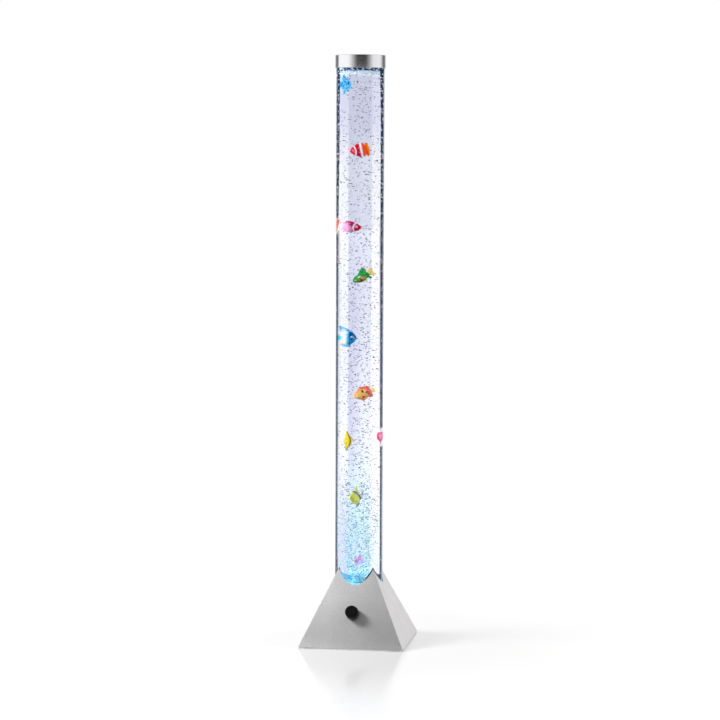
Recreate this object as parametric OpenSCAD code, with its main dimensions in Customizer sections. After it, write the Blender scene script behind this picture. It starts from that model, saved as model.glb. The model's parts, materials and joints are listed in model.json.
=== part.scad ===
// Bubble tube floor lamp: a tall clear tube of water with plastic fish, standing in a
// pyramid-shaped steel foot that holds the light, the air pump and the controls.
// Millimetres. The origin is on the floor under the tube's axis, +Z is up, and the
// control knob is on the -Y side.

/* [Overall] */
// Height from the floor to the top of the cap
lamp_h = 1195; // [1195:1:1500]

/* [Foot] */
// Side of the square foot at its lower edge
base_w = 215; // [213:1:225]
// Height at which the four sloping faces would meet
apex_h = 229; // [227:1:234]
// Height of the foot's lower edge above the floor
edge_gap = 2; // [1:0.5:2.5]
// Thickness of the folded steel sheet
sheet_t = 1; // [0.8:0.1:1.2]
// Diameter of the round opening that the tube stands in
opening_d = 100.8; // [100:0.2:102]
// Thickness of the bottom plate
plate_t = 3; // [2:0.5:3]
// Height of the rubber feet
foot_h = 3; // [3:0.5:4]

/* [Tube] */
// Outer diameter of the clear tube
tube_d = 98; // [97:0.1:98]
// Wall of the clear tube
tube_wall = 3; // [2.5:0.5:3]
// Height of the tube's lower end above the floor
tube_low = 98; // [98:0.5:99]
// Height of the upper face of the tube's clear floor
floor_top = 122; // [121:0.5:123]
// Thickness of the tube's clear floor
floor_t = 10; // [8:0.5:10]

/* [Cap] */
// Outer diameter of the metal cap
cap_d = 103; // [103:0.1:104]
// Height of the metal cap
cap_h = 26; // [24:1:30]
// Wall of the metal cap
cap_wall = 1.2; // [1:0.1:1.2]
// Length of the plug that sits in the tube's mouth
plug_len = 18; // [12:1:18]

/* [Controls] */
// Diameter of the control knob
knob_d = 26.6; // [24:0.2:30]
// Height of the control knob
knob_h = 16; // [14:0.5:18]
// Height above the floor at which the knob's axis meets the front face
knob_z = 67.7; // [64:0.1:70]
// Height above the floor at which the power inlet's axis meets the rear face
inlet_z = 26; // [24:1:30]
// Distance of the power inlet from the middle of the rear face
inlet_x = 60; // [55:1:62]

/* [Hidden] */

$fn = 64;
big = 400;
run_gap = 0.05;
slip_gap = 0.1;
steel = [0.74, 0.74, 0.75];
zinc = [0.66, 0.68, 0.70];
black_plastic = [0.06, 0.06, 0.07];
white_plastic = [0.88, 0.88, 0.86];
rubber_black = [0.10, 0.10, 0.10];
silicone = [0.86, 0.88, 0.90, 0.6];
acrylic = [0.85, 0.90, 0.95, 0.35];
board_green = [0.08, 0.32, 0.18];
copper = [0.72, 0.42, 0.20];

// --- foot ---
slope = (base_w / 2) / (apex_h - edge_gap);
tilt = atan(slope);
sheet_run = sheet_t / cos(tilt);
plate_low = foot_h;
plate_top = plate_low + plate_t;
plate_half = inner_half(plate_top) - 0.3;
foot_r = 10;
foot_at = 88;
tab_w = 24;
tab_reach = 18;
tab_h = 18;
tab_t = 2;
tab_screw_y = inner_half(plate_top) - 11;
m4_r = 2;
m4_hole_r = 2.2;
m4_head_r = 3.8;
m4_head_h = 2;
m3_r = 1.5;
m3_hole_r = 1.7;
m3_head_r = 2.8;
m3_head_h = 1.8;
slot_w = 3;
slot_len = 24;

// --- tube socket on its pillars ---
tube_r = tube_d / 2;
tube_in_r = tube_r - tube_wall;
gasket_t = 2;
seat_z = tube_low - gasket_t;
pillar_at = 30;
pillar_af = 10;
socket_low = 70;
socket_floor_t = 4;
socket_in = socket_low + socket_floor_t;
socket_r = 53.4;
socket_neck_r = 51;
socket_top = 116;
shoulder_z = 108;
ledge_r = 43.6;
cavity_r = 47.6;
socket_hole_r = 30;
clamp_z = 103;
clamp_angles = [30, 150, 270];

// --- light ---
led_z = 86;
led_board_t = 1.6;
led_board_r = 40;
led_hole_r = 12;
led_count = 12;
led_ring_r = 30;
led_side = 5;
led_screw_r = 36;
led_screw_angles = [90, 210, 330];

// --- air inlet of the tube ---
floor_low = floor_top - floor_t;
nozzle_r = 4.9;
nozzle_flange_r = 9;
seal_t = 1.2;
flange_low = floor_top + seal_t;
flange_t = 2;
stone_low = flange_low + flange_t;
stone_r = 10;
stone_h = 8;
barb_r = 1.98;
barb_len = 8;
air_bore_r = 1.2;
hose_r = 3;
hose_bore_r = 2;
hose_top_z = 94;

// --- hose route, in the plane y = 0 ---
upper_bend_r = 22;
hose_run_z = 62;
bend_start_z = hose_run_z + upper_bend_r;
valve_right_x = -32;
valve_left_x = -48;
valve_r = 6.5;
lower_bend_r = 15;
lower_bend_x = -57;
outlet_z = hose_run_z - 2 * lower_bend_r;

// --- pump ---
pump_low = 10;
pump_split = 34;
pump_top = 52;
pump_x = 46;
pump_y = 22;
pump_wall = 2;
pump_pad_at = [28, 15];
pump_pad_r = 5;
pump_screw_at = [[40, 16], [40, -16], [-40, -16]];
pump_boss_r = 3.2;
arm_pivot = [-38, 15];
pivot_r = 1.5;
arm_low = 25;
arm_high = 37;
arm_tip_x = 28;
arm_t = 3;
magnet_x = 10;
magnet_len = 16;
magnet_t = 3.5;
core_y = 7.5;
core_back_y = -18;
core_low = 24;
core_high = 38;
valve_box_x = [-30, -10];
valve_box_half = 8;
diaphragm_x = -20;

// --- controls ---
bush_r = 3.5;
bush_len = 6;
dimmer_r = 8.5;
dimmer_depth = 11;
shaft_r = 3;
washer_t = 0.8;
nut_t = 2;
knob_gap = 0.8;
knob_recess_r = 8;
inlet_r = 5.5;
inlet_depth = 14;
board_x = [52, 88];
board_y = 32;
board_z = 12;
board_t = 1.6;
board_screw_at = [[56, 28], [84, 28], [56, -28], [84, -28]];
wire_r = 1.1;

// --- cap ---
cap_low = lamp_h - cap_h;
cap_top_t = 1.5;
cap_in_r = cap_d / 2 - cap_wall;
cap_edge = 0.8;
liner_top = lamp_h - cap_top_t;
liner_t = 3.5;
tube_high = liner_top - liner_t;
plug_r = tube_in_r - run_gap;
plug_wall = 3;
vent_w = 8;

// --- fish: middle of the body, turn about the upright, and nose-down tilt ---
fish_t = 9;
fin_t = 2;
tip_extra = 2;

function half_at(z) = (apex_h - z) * slope;
function inner_half(z) = half_at(z) - sheet_run;

// ---------------------------------------------------------------- helpers

module hex_prism(across, h) {
  cylinder(d = across / cos(30), h = h, $fn = 6);
}

module ring(r_out, r_in, h) {
  difference() {
    cylinder(r = r_out, h = h);
    translate([0, 0, -1]) cylinder(r = r_in, h = h + 2);
  }
}

// A screw standing head down on z = 0, with its shank upwards
module screw_up(r, head_r, head_h, len) {
  difference() {
    union() {
      translate([0, 0, -head_h]) cylinder(r = head_r, h = head_h);
      cylinder(r = r, h = len);
    }
    translate([0, 0, -head_h - 1]) hex_prism(r * 1.25, head_h * 0.6 + 1);
  }
}

// Everything behind one sloping face, moved inwards by inset
module face_block(turn, inset) {
  rotate(turn) translate([0, -half_at(0), 0]) rotate([-tilt, 0, 0])
    translate([-big, inset, -big]) cube([2 * big, 2 * big, 3 * big]);
}

module pyramid(inset, low) {
  intersection() {
    face_block(0, inset);
    face_block(90, inset);
    face_block(180, inset);
    face_block(270, inset);
    translate([-big, -big, low]) cube([2 * big, 2 * big, apex_h]);
  }
}

// Children stand square on the front face, with +Z outwards
module on_front(z) {
  translate([0, -half_at(z), z]) rotate([90 - tilt, 0, 0]) children();
}

// The same on the rear face, at x
module on_back(x, z) {
  rotate(180) translate([-x, 0, 0]) on_front(z) children();
}

module at_corners(d) {
  for (x = [-d, d], y = [-d, d]) translate([x, y, 0]) children();
}

// A round tube or rod swept along a smooth curve through a few points
sweep_sides = 8;
sweep_steps = 3;

function spline(a, b, c, d, t) =
  0.5 * (2 * b + (c - a) * t + (2 * a - 5 * b + 4 * c - d) * t * t
  + (3 * b - a - 3 * c + d) * t * t * t);
function smooth(p) = let (last = len(p) - 1) concat(
  [for (i = [0 : last - 1], s = [0 : sweep_steps - 1])
    spline(p[max(i - 1, 0)], p[i], p[i + 1], p[min(i + 2, last)], s / sweep_steps)],
  [p[last]]);
function heading(p, i) = let (
  v = p[min(i + 1, len(p) - 1)] - p[max(i - 1, 0)]) v / norm(v);
function carried(p, n, i = 0) = i == len(p) ? [] : let (
  t = heading(p, i), m = n - (n * t) * t, u = m / norm(m)) concat([u], carried(p, u, i + 1));

module sweep(route, r, side) {
  p = smooth(route);
  u = carried(p, side);
  count = len(p);
  points = [for (i = [0 : count - 1], j = [0 : sweep_sides - 1])
    let (a = 360 * j / sweep_sides) p[i] + r * (cos(a) * u[i] + sin(a) * cross(heading(p, i), u[i]))];
  walls = [for (i = [0 : count - 2], j = [0 : sweep_sides - 1])
    let (k = (j + 1) % sweep_sides, a = i * sweep_sides)
    [a + j, a + sweep_sides + j, a + sweep_sides + k, a + k]];
  ends = [[for (j = [0 : sweep_sides - 1]) j],
    [for (j = [0 : sweep_sides - 1]) count * sweep_sides - 1 - j]];
  polyhedron(points, concat(walls, ends), convexity = 6);
}

// ---------------------------------------------------------------- foot

module base_housing() {
  color(steel) difference() {
    pyramid(0, edge_gap);
    pyramid(sheet_t, -edge_gap);
    translate([0, 0, shoulder_z]) cylinder(d = opening_d, h = apex_h, $fn = 96);
    on_front(knob_z) cylinder(r = bush_r + 0.2, h = 6, center = true);
    on_back(inlet_x, inlet_z) cylinder(r = inlet_r + 0.2, h = 6, center = true);
  }
}

module housing_tab() {
  edge = inner_half(plate_top);
  difference() {
    intersection() {
      pyramid(sheet_t, plate_top);
      translate([-tab_w / 2, -base_w / 2, plate_top]) cube([tab_w, base_w / 2 - edge + tab_reach, tab_h]);
    }
    pyramid(sheet_t + tab_t, plate_top + tab_t);
    translate([0, -tab_screw_y, plate_top - 1]) cylinder(r = m4_r + run_gap, h = tab_t + 2);
  }
}

module housing_tabs() {
  color(steel) for (a = [0 : 90 : 270]) rotate(a) housing_tab();
}

module base_plate() {
  color(zinc) difference() {
    translate([-plate_half, -plate_half, plate_low]) cube([2 * plate_half, 2 * plate_half, plate_t]);
    for (a = [0 : 90 : 270]) rotate(a) translate([0, -tab_screw_y, 0]) cylinder(r = m4_hole_r, h = 20);
    at_corners(pillar_at) cylinder(r = m4_hole_r, h = 20);
    for (x = [-70, -62, 54, 62]) translate([x, -70, 0]) cube([slot_w, slot_len, 20]);
  }
}

module tab_screws() {
  color(zinc) for (a = [0 : 90 : 270])
    rotate(a) translate([0, -tab_screw_y, plate_low]) screw_up(m4_r, m4_head_r, m4_head_h, plate_t + 4);
}

module rubber_feet() {
  color(rubber_black) at_corners(foot_at) union() {
    cylinder(r1 = foot_r - 1, r2 = foot_r, h = 1);
    translate([0, 0, 1]) cylinder(r = foot_r, h = foot_h - 1);
  }
}

// ---------------------------------------------------------------- tube and socket

module socket_pillars() {
  color(zinc) at_corners(pillar_at) difference() {
    translate([0, 0, plate_top]) hex_prism(pillar_af, socket_low - plate_top);
    translate([0, 0, plate_top - 1]) cylinder(r = m4_r + run_gap, h = 13);
    translate([0, 0, socket_low - 12]) cylinder(r = m4_r + run_gap, h = 13);
  }
}

module pillar_screws() {
  color(zinc) {
    at_corners(pillar_at) translate([0, 0, plate_low]) screw_up(m4_r, m4_head_r, m4_head_h, 12);
    at_corners(pillar_at) translate([0, 0, socket_in]) mirror([0, 0, 1])
      screw_up(m4_r, m4_head_r, m4_head_h, 12);
  }
}

module tube_socket() {
  color(black_plastic) difference() {
    union() {
      rotate_extrude($fn = 96) polygon([
        [socket_hole_r, socket_low], [socket_r, socket_low], [socket_r, shoulder_z],
        [socket_neck_r, shoulder_z + 1.5], [socket_neck_r, socket_top],
        [tube_r + slip_gap, socket_top], [tube_r + slip_gap, seat_z], [ledge_r, seat_z],
        [ledge_r, seat_z - 4], [cavity_r, seat_z - 6], [cavity_r, socket_in],
        [socket_hole_r, socket_in]]);
      for (a = led_screw_angles) rotate(a) translate([led_screw_r, 0, socket_low])
        cylinder(r = 4, h = led_z - socket_low);
    }
    at_corners(pillar_at) cylinder(r = m4_hole_r, h = socket_in + 1);
    for (a = led_screw_angles) rotate(a) translate([led_screw_r, 0, led_z - 10])
      cylinder(r = m3_r + run_gap, h = 20);
    for (a = clamp_angles) rotate(a) translate([tube_r - 1, 0, clamp_z]) rotate([0, 90, 0])
      cylinder(r = m4_r + run_gap, h = 8);
  }
}

module seat_gasket() {
  color(rubber_black) translate([0, 0, seat_z]) ring(tube_r, ledge_r, gasket_t);
}

module clamp_screws() {
  color(zinc) for (a = clamp_angles) rotate(a) translate([tube_r + 0.02, 0, clamp_z]) rotate([0, 90, 0])
    difference() {
      cylinder(r = m4_r, h = 4);
      translate([0, 0, 2]) hex_prism(2, 3);
    }
}

module tube() {
  color(acrylic) translate([0, 0, tube_low]) ring(tube_r, tube_in_r, tube_high - tube_low, $fn = 96);
}

module tube_floor() {
  color(acrylic) translate([0, 0, floor_low]) ring(tube_in_r, nozzle_r + slip_gap, floor_t, $fn = 96);
}

module air_nozzle() {
  color(white_plastic) difference() {
    union() {
      translate([0, 0, hose_top_z - barb_len]) cylinder(r = barb_r, h = barb_len + 1);
      translate([0, 0, hose_top_z]) cylinder(r = nozzle_r, h = flange_low - hose_top_z + 0.5);
      translate([0, 0, flange_low]) cylinder(r = nozzle_flange_r, h = flange_t);
    }
    cylinder(r = air_bore_r, h = floor_top + 20);
  }
}

module nozzle_nut() {
  color(white_plastic) translate([0, 0, floor_low - 4.5]) difference() {
    hex_prism(14, 4.5);
    translate([0, 0, -1]) cylinder(r = nozzle_r + run_gap, h = 8);
  }
}

module nozzle_seal() {
  color(rubber_black) translate([0, 0, floor_top]) ring(nozzle_flange_r - 0.2, nozzle_r + slip_gap, seal_t);
}

module air_stone() {
  color([0.55, 0.62, 0.70]) translate([0, 0, stone_low]) union() {
    cylinder(r = stone_r, h = stone_h - 1.5);
    translate([0, 0, stone_h - 1.5]) cylinder(r1 = stone_r, r2 = stone_r - 1.5, h = 1.5);
  }
}

// ---------------------------------------------------------------- light

module led_board() {
  color(white_plastic) translate([0, 0, led_z]) difference() {
    ring(led_board_r, led_hole_r, led_board_t);
    for (a = led_screw_angles) rotate(a) translate([led_screw_r, 0, -1]) cylinder(r = m3_hole_r, h = 5);
  }
}

module leds() {
  color([0.95, 0.92, 0.70]) for (i = [0 : led_count - 1]) rotate((i + 0.5) * 360 / led_count)
    translate([led_ring_r, 0, led_z + led_board_t]) union() {
      translate([-led_side / 2, -led_side / 2, 0]) cube([led_side, led_side, 1.4]);
      translate([0, 0, 1.4]) cylinder(r = 1.8, h = 0.6);
    }
}

module led_screws() {
  color(zinc) for (a = led_screw_angles) rotate(a)
    translate([led_screw_r, 0, led_z + led_board_t]) mirror([0, 0, 1])
      screw_up(m3_r, m3_head_r, m3_head_h, 9);
}

// ---------------------------------------------------------------- controls

module control_board() {
  color(board_green) difference() {
    translate([board_x[0], -board_y, board_z]) cube([board_x[1] - board_x[0], 2 * board_y, board_t]);
    for (p = board_screw_at) translate([p[0], p[1], 0]) cylinder(r = m3_hole_r, h = 40);
  }
}

module on_board(x, y) {
  translate([x, y, board_z + board_t]) children();
}

module board_parts() {
  color(white_plastic) {
    on_board(65, 24) cube([10, 8, 6.4]);
    on_board(65, -32) cube([10, 8, 6.4]);
    on_board(53, 2) cube([6, 8, 7.4]);
    on_board(53, -16) cube([6, 8, 6.4]);
  }
  color(black_plastic) {
    on_board(66, -8) cube([12, 8, 2]);
    on_board(79, 14) cylinder(r = 5, h = 12);
    on_board(80, -16) cylinder(r = 4, h = 9);
  }
  color(copper) on_board(68, 13) ring(5, 2.5, 5);
}

module board_spacers() {
  color(white_plastic) for (p = board_screw_at) translate([p[0], p[1], plate_top]) difference() {
    cylinder(r = 3, h = board_z - plate_top);
    translate([0, 0, 1]) cylinder(r = m3_r + run_gap, h = board_z);
  }
}

module board_screws() {
  color(zinc) for (p = board_screw_at) translate([p[0], p[1], board_z + board_t]) mirror([0, 0, 1])
    screw_up(m3_r, m3_head_r, m3_head_h, 6);
}

module dimmer_body() {
  color(zinc) on_front(knob_z) difference() {
    union() {
      translate([0, 0, -sheet_t - dimmer_depth]) cylinder(r = dimmer_r, h = dimmer_depth);
      translate([0, 0, -sheet_t - 0.5]) cylinder(r = bush_r, h = bush_len + sheet_t + 0.5);
      translate([-6, -dimmer_r - 4, -sheet_t - 7]) cube([12, 8, 1.6]);
    }
    translate([0, 0, -sheet_t - dimmer_depth + 1]) cylinder(r = shaft_r + run_gap, h = 40);
  }
}

module dimmer_washer() {
  color(zinc) on_front(knob_z) ring(6.5, bush_r + slip_gap, washer_t);
}

module dimmer_nut() {
  color(zinc) on_front(knob_z) translate([0, 0, washer_t]) difference() {
    hex_prism(10, nut_t);
    translate([0, 0, -1]) cylinder(r = bush_r + run_gap, h = nut_t + 2);
  }
}

module dimmer_shaft() {
  color(zinc) on_front(knob_z) translate([0, 0, -sheet_t - dimmer_depth + 1.2])
    cylinder(r = shaft_r, h = dimmer_depth + sheet_t - 1.2 + knob_gap + knob_h - 3);
}

module knob() {
  r = knob_d / 2;
  top = knob_gap + knob_h;
  color(black_plastic) on_front(knob_z) rotate_extrude($fn = 96) polygon([
    [knob_recess_r, knob_gap], [r - 0.4, knob_gap], [r, knob_gap + 0.4], [r - 0.3, top - 1],
    [r - 1.3, top], [r * 0.76, top], [r * 0.76, top - 0.6], [0, top - 0.6], [0, top - 3],
    [shaft_r, top - 3], [shaft_r, 8], [knob_recess_r, 7]]);
}

module knob_face() {
  r = knob_d / 2;
  color([0.12, 0.12, 0.13]) on_front(knob_z) translate([0, 0, knob_gap + knob_h - 0.6])
    cylinder(r1 = r * 0.7, r2 = r * 0.68, h = 0.5);
}

module dc_inlet() {
  color(black_plastic) on_back(inlet_x, inlet_z) difference() {
    union() {
      translate([0, 0, -inlet_depth]) cylinder(r = inlet_r, h = inlet_depth);
      cylinder(r = inlet_r + 1.5, h = 2);
    }
    difference() {
      translate([0, 0, -10]) cylinder(r = 2.75, h = 20);
      translate([0, 0, -11]) cylinder(r = 1.05, h = 11.5);
    }
  }
}

module inlet_nut() {
  color(zinc) on_back(inlet_x, inlet_z) translate([0, 0, -sheet_t - 2.5]) difference() {
    hex_prism(14, 2.5);
    translate([0, 0, -1]) cylinder(r = inlet_r + run_gap, h = 5);
  }
}

// Leads between the boards. Their ends stand square to what they meet, a hair short of it.
lead_gap = 0.05;
inlet_in = [0, -cos(tilt), -sin(tilt)];
dimmer_in = [0, cos(tilt), -sin(tilt)];
inlet_end = [inlet_x, half_at(inlet_z), inlet_z] + (inlet_depth + lead_gap) * inlet_in;
dimmer_end = [0, -half_at(knob_z), knob_z] + (sheet_t + dimmer_depth + lead_gap) * dimmer_in;
inlet_lead = [inlet_end, inlet_end + 3 * inlet_in, inlet_end + 6.5 * inlet_in, [62, 61, 13], [68, 48, 15],
  [70, 41, 17], [70, 36, 17], [70, 32 + lead_gap, 17]];
led_lead = [[56, 6, 21 + lead_gap], [56, 6, 25], [56, 6, 31], [55, 5, 48], [50, 4, 60], [36, 2, 64],
  [24, 0, 70], [20, 0, 77], [20, 0, 82], [20, 0, led_z - lead_gap]];
pump_lead = [[53 - lead_gap, -12, 17], [49.5, -12, 17], [pump_x + lead_gap, -12, 17]];
dimmer_lead = [dimmer_end, dimmer_end + 3 * dimmer_in, dimmer_end + 6.5 * dimmer_in, [16, -57, 48],
  [40, -55, 27], [60, -50, 17], [70, -41, 17], [70, -36, 17], [70, -32 - lead_gap, 17]];

module wiring() {
  color([0.7, 0.1, 0.1]) sweep(inlet_lead, wire_r, [1, 0, 0]);
  color([0.85, 0.85, 0.85]) sweep(led_lead, wire_r, [1, 0, 0]);
  color([0.15, 0.15, 0.5]) sweep(pump_lead, wire_r, [0, 0, 1]);
  color([0.1, 0.1, 0.1]) sweep(dimmer_lead, wire_r, [1, 0, 0]);
}

// ---------------------------------------------------------------- pump

module at_pads() {
  for (x = [-pump_pad_at[0], pump_pad_at[0]], y = [-pump_pad_at[1], pump_pad_at[1]])
    translate([x, y, plate_top]) children();
}

module pump_pads() {
  color(rubber_black) at_pads() cylinder(r = pump_pad_r, h = pump_low - plate_top);
}

module pump_box(low, high, wall) {
  translate([-pump_x + wall, -pump_y + wall, low])
    cube([2 * (pump_x - wall), 2 * (pump_y - wall), high - low]);
}

module pump_base() {
  color([0.20, 0.22, 0.25]) difference() {
    union() {
      difference() {
        pump_box(pump_low, pump_split, 0);
        pump_box(pump_low + pump_wall, pump_split + 1, pump_wall);
      }
      for (p = pump_screw_at) translate([p[0], p[1], pump_low + 1])
        cylinder(r = pump_boss_r, h = pump_split - pump_low - 1);
      translate([arm_pivot[0], arm_pivot[1], pump_low + 1]) cylinder(r = 4, h = arm_low - pump_low - 1.5);
      for (x = [0, 30]) translate([x, core_back_y, pump_low + 1]) cube([6, 12, core_low - pump_low - 1]);
      translate([valve_box_x[0] + 4, -4, pump_low + 1]) cube([12, 8, 11]);
    }
    for (p = pump_screw_at) translate([p[0], p[1], 0]) cylinder(r = m3_r - 0.15, h = pump_top);
    translate([arm_pivot[0], arm_pivot[1], 15]) cylinder(r = pivot_r, h = 40);
    translate([-pump_x - 1, 0, outlet_z]) rotate([0, 90, 0]) cylinder(r = 3.3, h = 4);
  }
}

module pump_cover() {
  color([0.20, 0.22, 0.25]) difference() {
    union() {
      difference() {
        pump_box(pump_split, pump_top, 0);
        pump_box(pump_split - 1, pump_top - pump_wall, pump_wall);
      }
      for (p = pump_screw_at) translate([p[0], p[1], pump_split])
        cylinder(r = pump_boss_r, h = pump_top - pump_split - 1);
      translate([arm_pivot[0], arm_pivot[1], arm_high + 0.5]) cylinder(r = 4, h = pump_top - arm_high - 1.5);
    }
    for (p = pump_screw_at) translate([p[0], p[1], 0]) cylinder(r = m3_r - 0.15, h = pump_top - 4);
    translate([arm_pivot[0], arm_pivot[1], 15]) cylinder(r = pivot_r, h = 33);
    translate([-pump_x - 1, 0, outlet_z]) rotate([0, 90, 0]) cylinder(r = 3.3, h = 4);
  }
}

module pump_screws() {
  color(zinc) for (p = pump_screw_at) translate([p[0], p[1], pump_low])
    screw_up(m3_r - 0.2, 2.5, 1.8, 30);
}

module pump_core() {
  color([0.35, 0.36, 0.38]) {
    translate([0, core_back_y, core_low]) cube([36, 6, core_high - core_low]);
    for (x = [0, 15, 30]) translate([x, core_back_y + 5, core_low])
      cube([6, core_y - core_back_y - 5, core_high - core_low]);
  }
}

module pump_coil() {
  color(copper) difference() {
    translate([8.5, -11, 19]) cube([19, 17, 24]);
    translate([15 - slip_gap, -12, core_low - slip_gap])
      cube([6 + 2 * slip_gap, 19, core_high - core_low + 2 * slip_gap]);
  }
}

module pump_pivot() {
  color(zinc) translate([arm_pivot[0], arm_pivot[1], 15]) cylinder(r = pivot_r, h = 33);
}

module pump_arm() {
  color([0.75, 0.60, 0.25]) translate([arm_pivot[0], arm_pivot[1], arm_low]) difference() {
    union() {
      cylinder(r = 4.5, h = arm_high - arm_low);
      translate([0, -arm_t / 2, 1]) cube([arm_tip_x - arm_pivot[0], arm_t, arm_high - arm_low - 2]);
    }
    translate([0, 0, -1]) cylinder(r = pivot_r + run_gap, h = 20);
  }
}

module pump_magnet() {
  color([0.5, 0.5, 0.52]) translate([magnet_x, arm_pivot[1] - arm_t / 2 - magnet_t, arm_low])
    cube([magnet_len, magnet_t, arm_high - arm_low]);
}

module pump_valve_box() {
  color([0.25, 0.30, 0.36]) difference() {
    union() {
      translate([valve_box_x[0], -valve_box_half, 22])
        cube([valve_box_x[1] - valve_box_x[0], 2 * valve_box_half, 20]);
      translate([-pump_x - 1, 0, outlet_z]) rotate([0, 90, 0]) cylinder(r = hose_r, h = 18);
      translate([-pump_x - 1 - barb_len, 0, outlet_z]) rotate([0, 90, 0]) cylinder(r = barb_r, h = 10);
    }
    translate([-pump_x - 12, 0, outlet_z]) rotate([0, 90, 0]) cylinder(r = air_bore_r, h = 40);
    translate([diaphragm_x, 1, outlet_z]) rotate([-90, 0, 0]) cylinder(r = 7, h = 10);
  }
}

module pump_diaphragm() {
  color(rubber_black) translate([diaphragm_x, valve_box_half, outlet_z]) rotate([-90, 0, 0]) union() {
    cylinder(r = 9, h = 2);
    translate([0, 0, 1]) cylinder(r = 3, h = 3.8);
  }
}

// ---------------------------------------------------------------- air hose

module hose_wall() {
  difference() {
    circle(r = hose_r);
    circle(r = hose_bore_r);
  }
}

// A quarter or half bend in the plane y = 0, about the middle (x, z)
module hose_bend(x, z, r, start, sweep_angle) {
  translate([x, 0, z]) rotate([90, 0, 0]) rotate(start) rotate_extrude(angle = sweep_angle, $fn = 72)
    translate([r, 0]) hose_wall();
}

module hose_upper() {
  color(silicone) union() {
    translate([0, 0, bend_start_z]) linear_extrude(hose_top_z - bend_start_z) hose_wall();
    hose_bend(-upper_bend_r, bend_start_z, upper_bend_r, 270, 90);
    translate([valve_right_x, 0, hose_run_z]) rotate([0, 90, 0])
      linear_extrude(-upper_bend_r - valve_right_x) hose_wall();
  }
}

module check_valve() {
  color([0.2, 0.5, 0.75]) translate([valve_left_x, 0, hose_run_z]) rotate([0, 90, 0]) difference() {
    union() {
      cylinder(r = valve_r, h = valve_right_x - valve_left_x);
      translate([0, 0, -barb_len]) cylinder(r = barb_r, h = valve_right_x - valve_left_x + 2 * barb_len);
    }
    translate([0, 0, -barb_len - 1]) cylinder(r = air_bore_r, h = barb_len + 4);
    translate([0, 0, valve_right_x - valve_left_x - 3]) cylinder(r = air_bore_r, h = barb_len + 5);
    translate([0, 0, 3]) cylinder(r = valve_r - 2, h = valve_right_x - valve_left_x - 6);
  }
}

module hose_lower() {
  color(silicone) union() {
    translate([lower_bend_x, 0, hose_run_z]) rotate([0, 90, 0])
      linear_extrude(valve_left_x - lower_bend_x) hose_wall();
    hose_bend(lower_bend_x, hose_run_z - lower_bend_r, lower_bend_r, 90, 180);
    translate([lower_bend_x, 0, outlet_z]) rotate([0, 90, 0])
      linear_extrude(-pump_x - 1 - lower_bend_x) hose_wall();
  }
}

// ---------------------------------------------------------------- cap

module cap_shell() {
  color(steel) rotate_extrude($fn = 96) polygon([
    [cap_in_r, cap_low], [cap_d / 2, cap_low], [cap_d / 2, lamp_h - cap_edge],
    [cap_d / 2 - cap_edge, lamp_h], [0, lamp_h], [0, liner_top], [cap_in_r, liner_top]]);
}

module cap_liner() {
  color(white_plastic) difference() {
    rotate_extrude($fn = 96) polygon([
      [0, tube_high + 0.5], [plug_r - plug_wall, tube_high + 0.5], [plug_r - plug_wall, tube_high - plug_len],
      [plug_r, tube_high - plug_len], [plug_r, tube_high], [cap_in_r - run_gap, tube_high],
      [cap_in_r - run_gap, liner_top], [0, liner_top]]);
    for (a = [0 : 90 : 270]) rotate(a) translate([plug_r - plug_wall - 2, -vent_w / 2, tube_high - plug_len - 1])
      cube([20, vent_w, plug_len + 2.5]);
  }
}

// ---------------------------------------------------------------- fish

// Turns a fish drawn in the XZ plane, nose towards +X, into its place in the water
module fish_at(place, turn, dip) {
  translate(place) rotate([0, 0, turn]) rotate([0, dip, 0]) children();
}

// A pointed oval body, thick in the middle and thin at its rim, with a blunt tip at each end
module fish_body(l, h, t = fish_t) {
  rim = (l * l + h * h) / (4 * h);
  ball = ((l + tip_extra) * (l + tip_extra) + t * t) / (4 * t);
  intersection() {
    translate([0, 0, rim - h / 2]) rotate([90, 0, 0])
      cylinder(r = rim, h = 2 * t, center = true, $fn = 96);
    translate([0, 0, h / 2 - rim]) rotate([90, 0, 0]) cylinder(r = rim, h = 2 * t, center = true, $fn = 96);
    translate([0, ball - t / 2, 0]) sphere(r = ball, $fn = 96);
    translate([0, t / 2 - ball, 0]) sphere(r = ball, $fn = 96);
  }
}

// A flat fin from its outline in x and z
module fin(outline) {
  translate([0, fin_t / 2, 0]) rotate([90, 0, 0]) linear_extrude(fin_t) polygon(outline);
}

module fish_spotted_blue() {
  color([0.35, 0.72, 0.92]) fish_at([-23.6, -3.8, 1136], 42, 0) union() {
    fish_body(26, 28);
    fin([[-9, 4], [-16, 9], [-18, 6], [-16.5, 0], [-18, -6], [-16, -9], [-9, -4]]);
    fin([[3, 12], [0, 17], [-1.5, 24.5], [-4, 24], [-4.5, 17], [-7, 10]]);
    fin([[3, -12], [1, -18], [-1, -21], [-4, -20], [-7, -9]]);
  }
}

module fish_red_banded() {
  color([0.80, 0.08, 0.10]) fish_at([-1.2, -0.2, 1004], 189, 10) union() {
    fish_body(30, 24);
    fin([[-8, 7], [-12, 15], [-15, 11], [-16, 0], [-14.5, -12], [-11, -15], [-8, -7]]);
    fin([[7, 8], [3, 13], [-2, 14.5], [-8, 14.5], [-10, 6]]);
    fin([[5, -9], [1, -13.5], [-7, -14], [-10, -6]]);
  }
}

module fish_pink_banded() {
  color([0.85, 0.20, 0.35]) fish_at([-15.2, 15.8, 849], 9, 8) union() {
    fish_body(30, 20);
    fin([[-8, 5], [-13, 8], [-17, 14], [-20, 13], [-20.5, 0], [-20, -12], [-17, -14], [-13, -8], [-8, -5]]);
    fin([[6, 7], [2, 11], [-7, 12], [-10, 5]]);
    fin([[4, -7], [0, -10.5], [-7, -11], [-10, -9.5], [-7, -5]]);
  }
}

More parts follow.
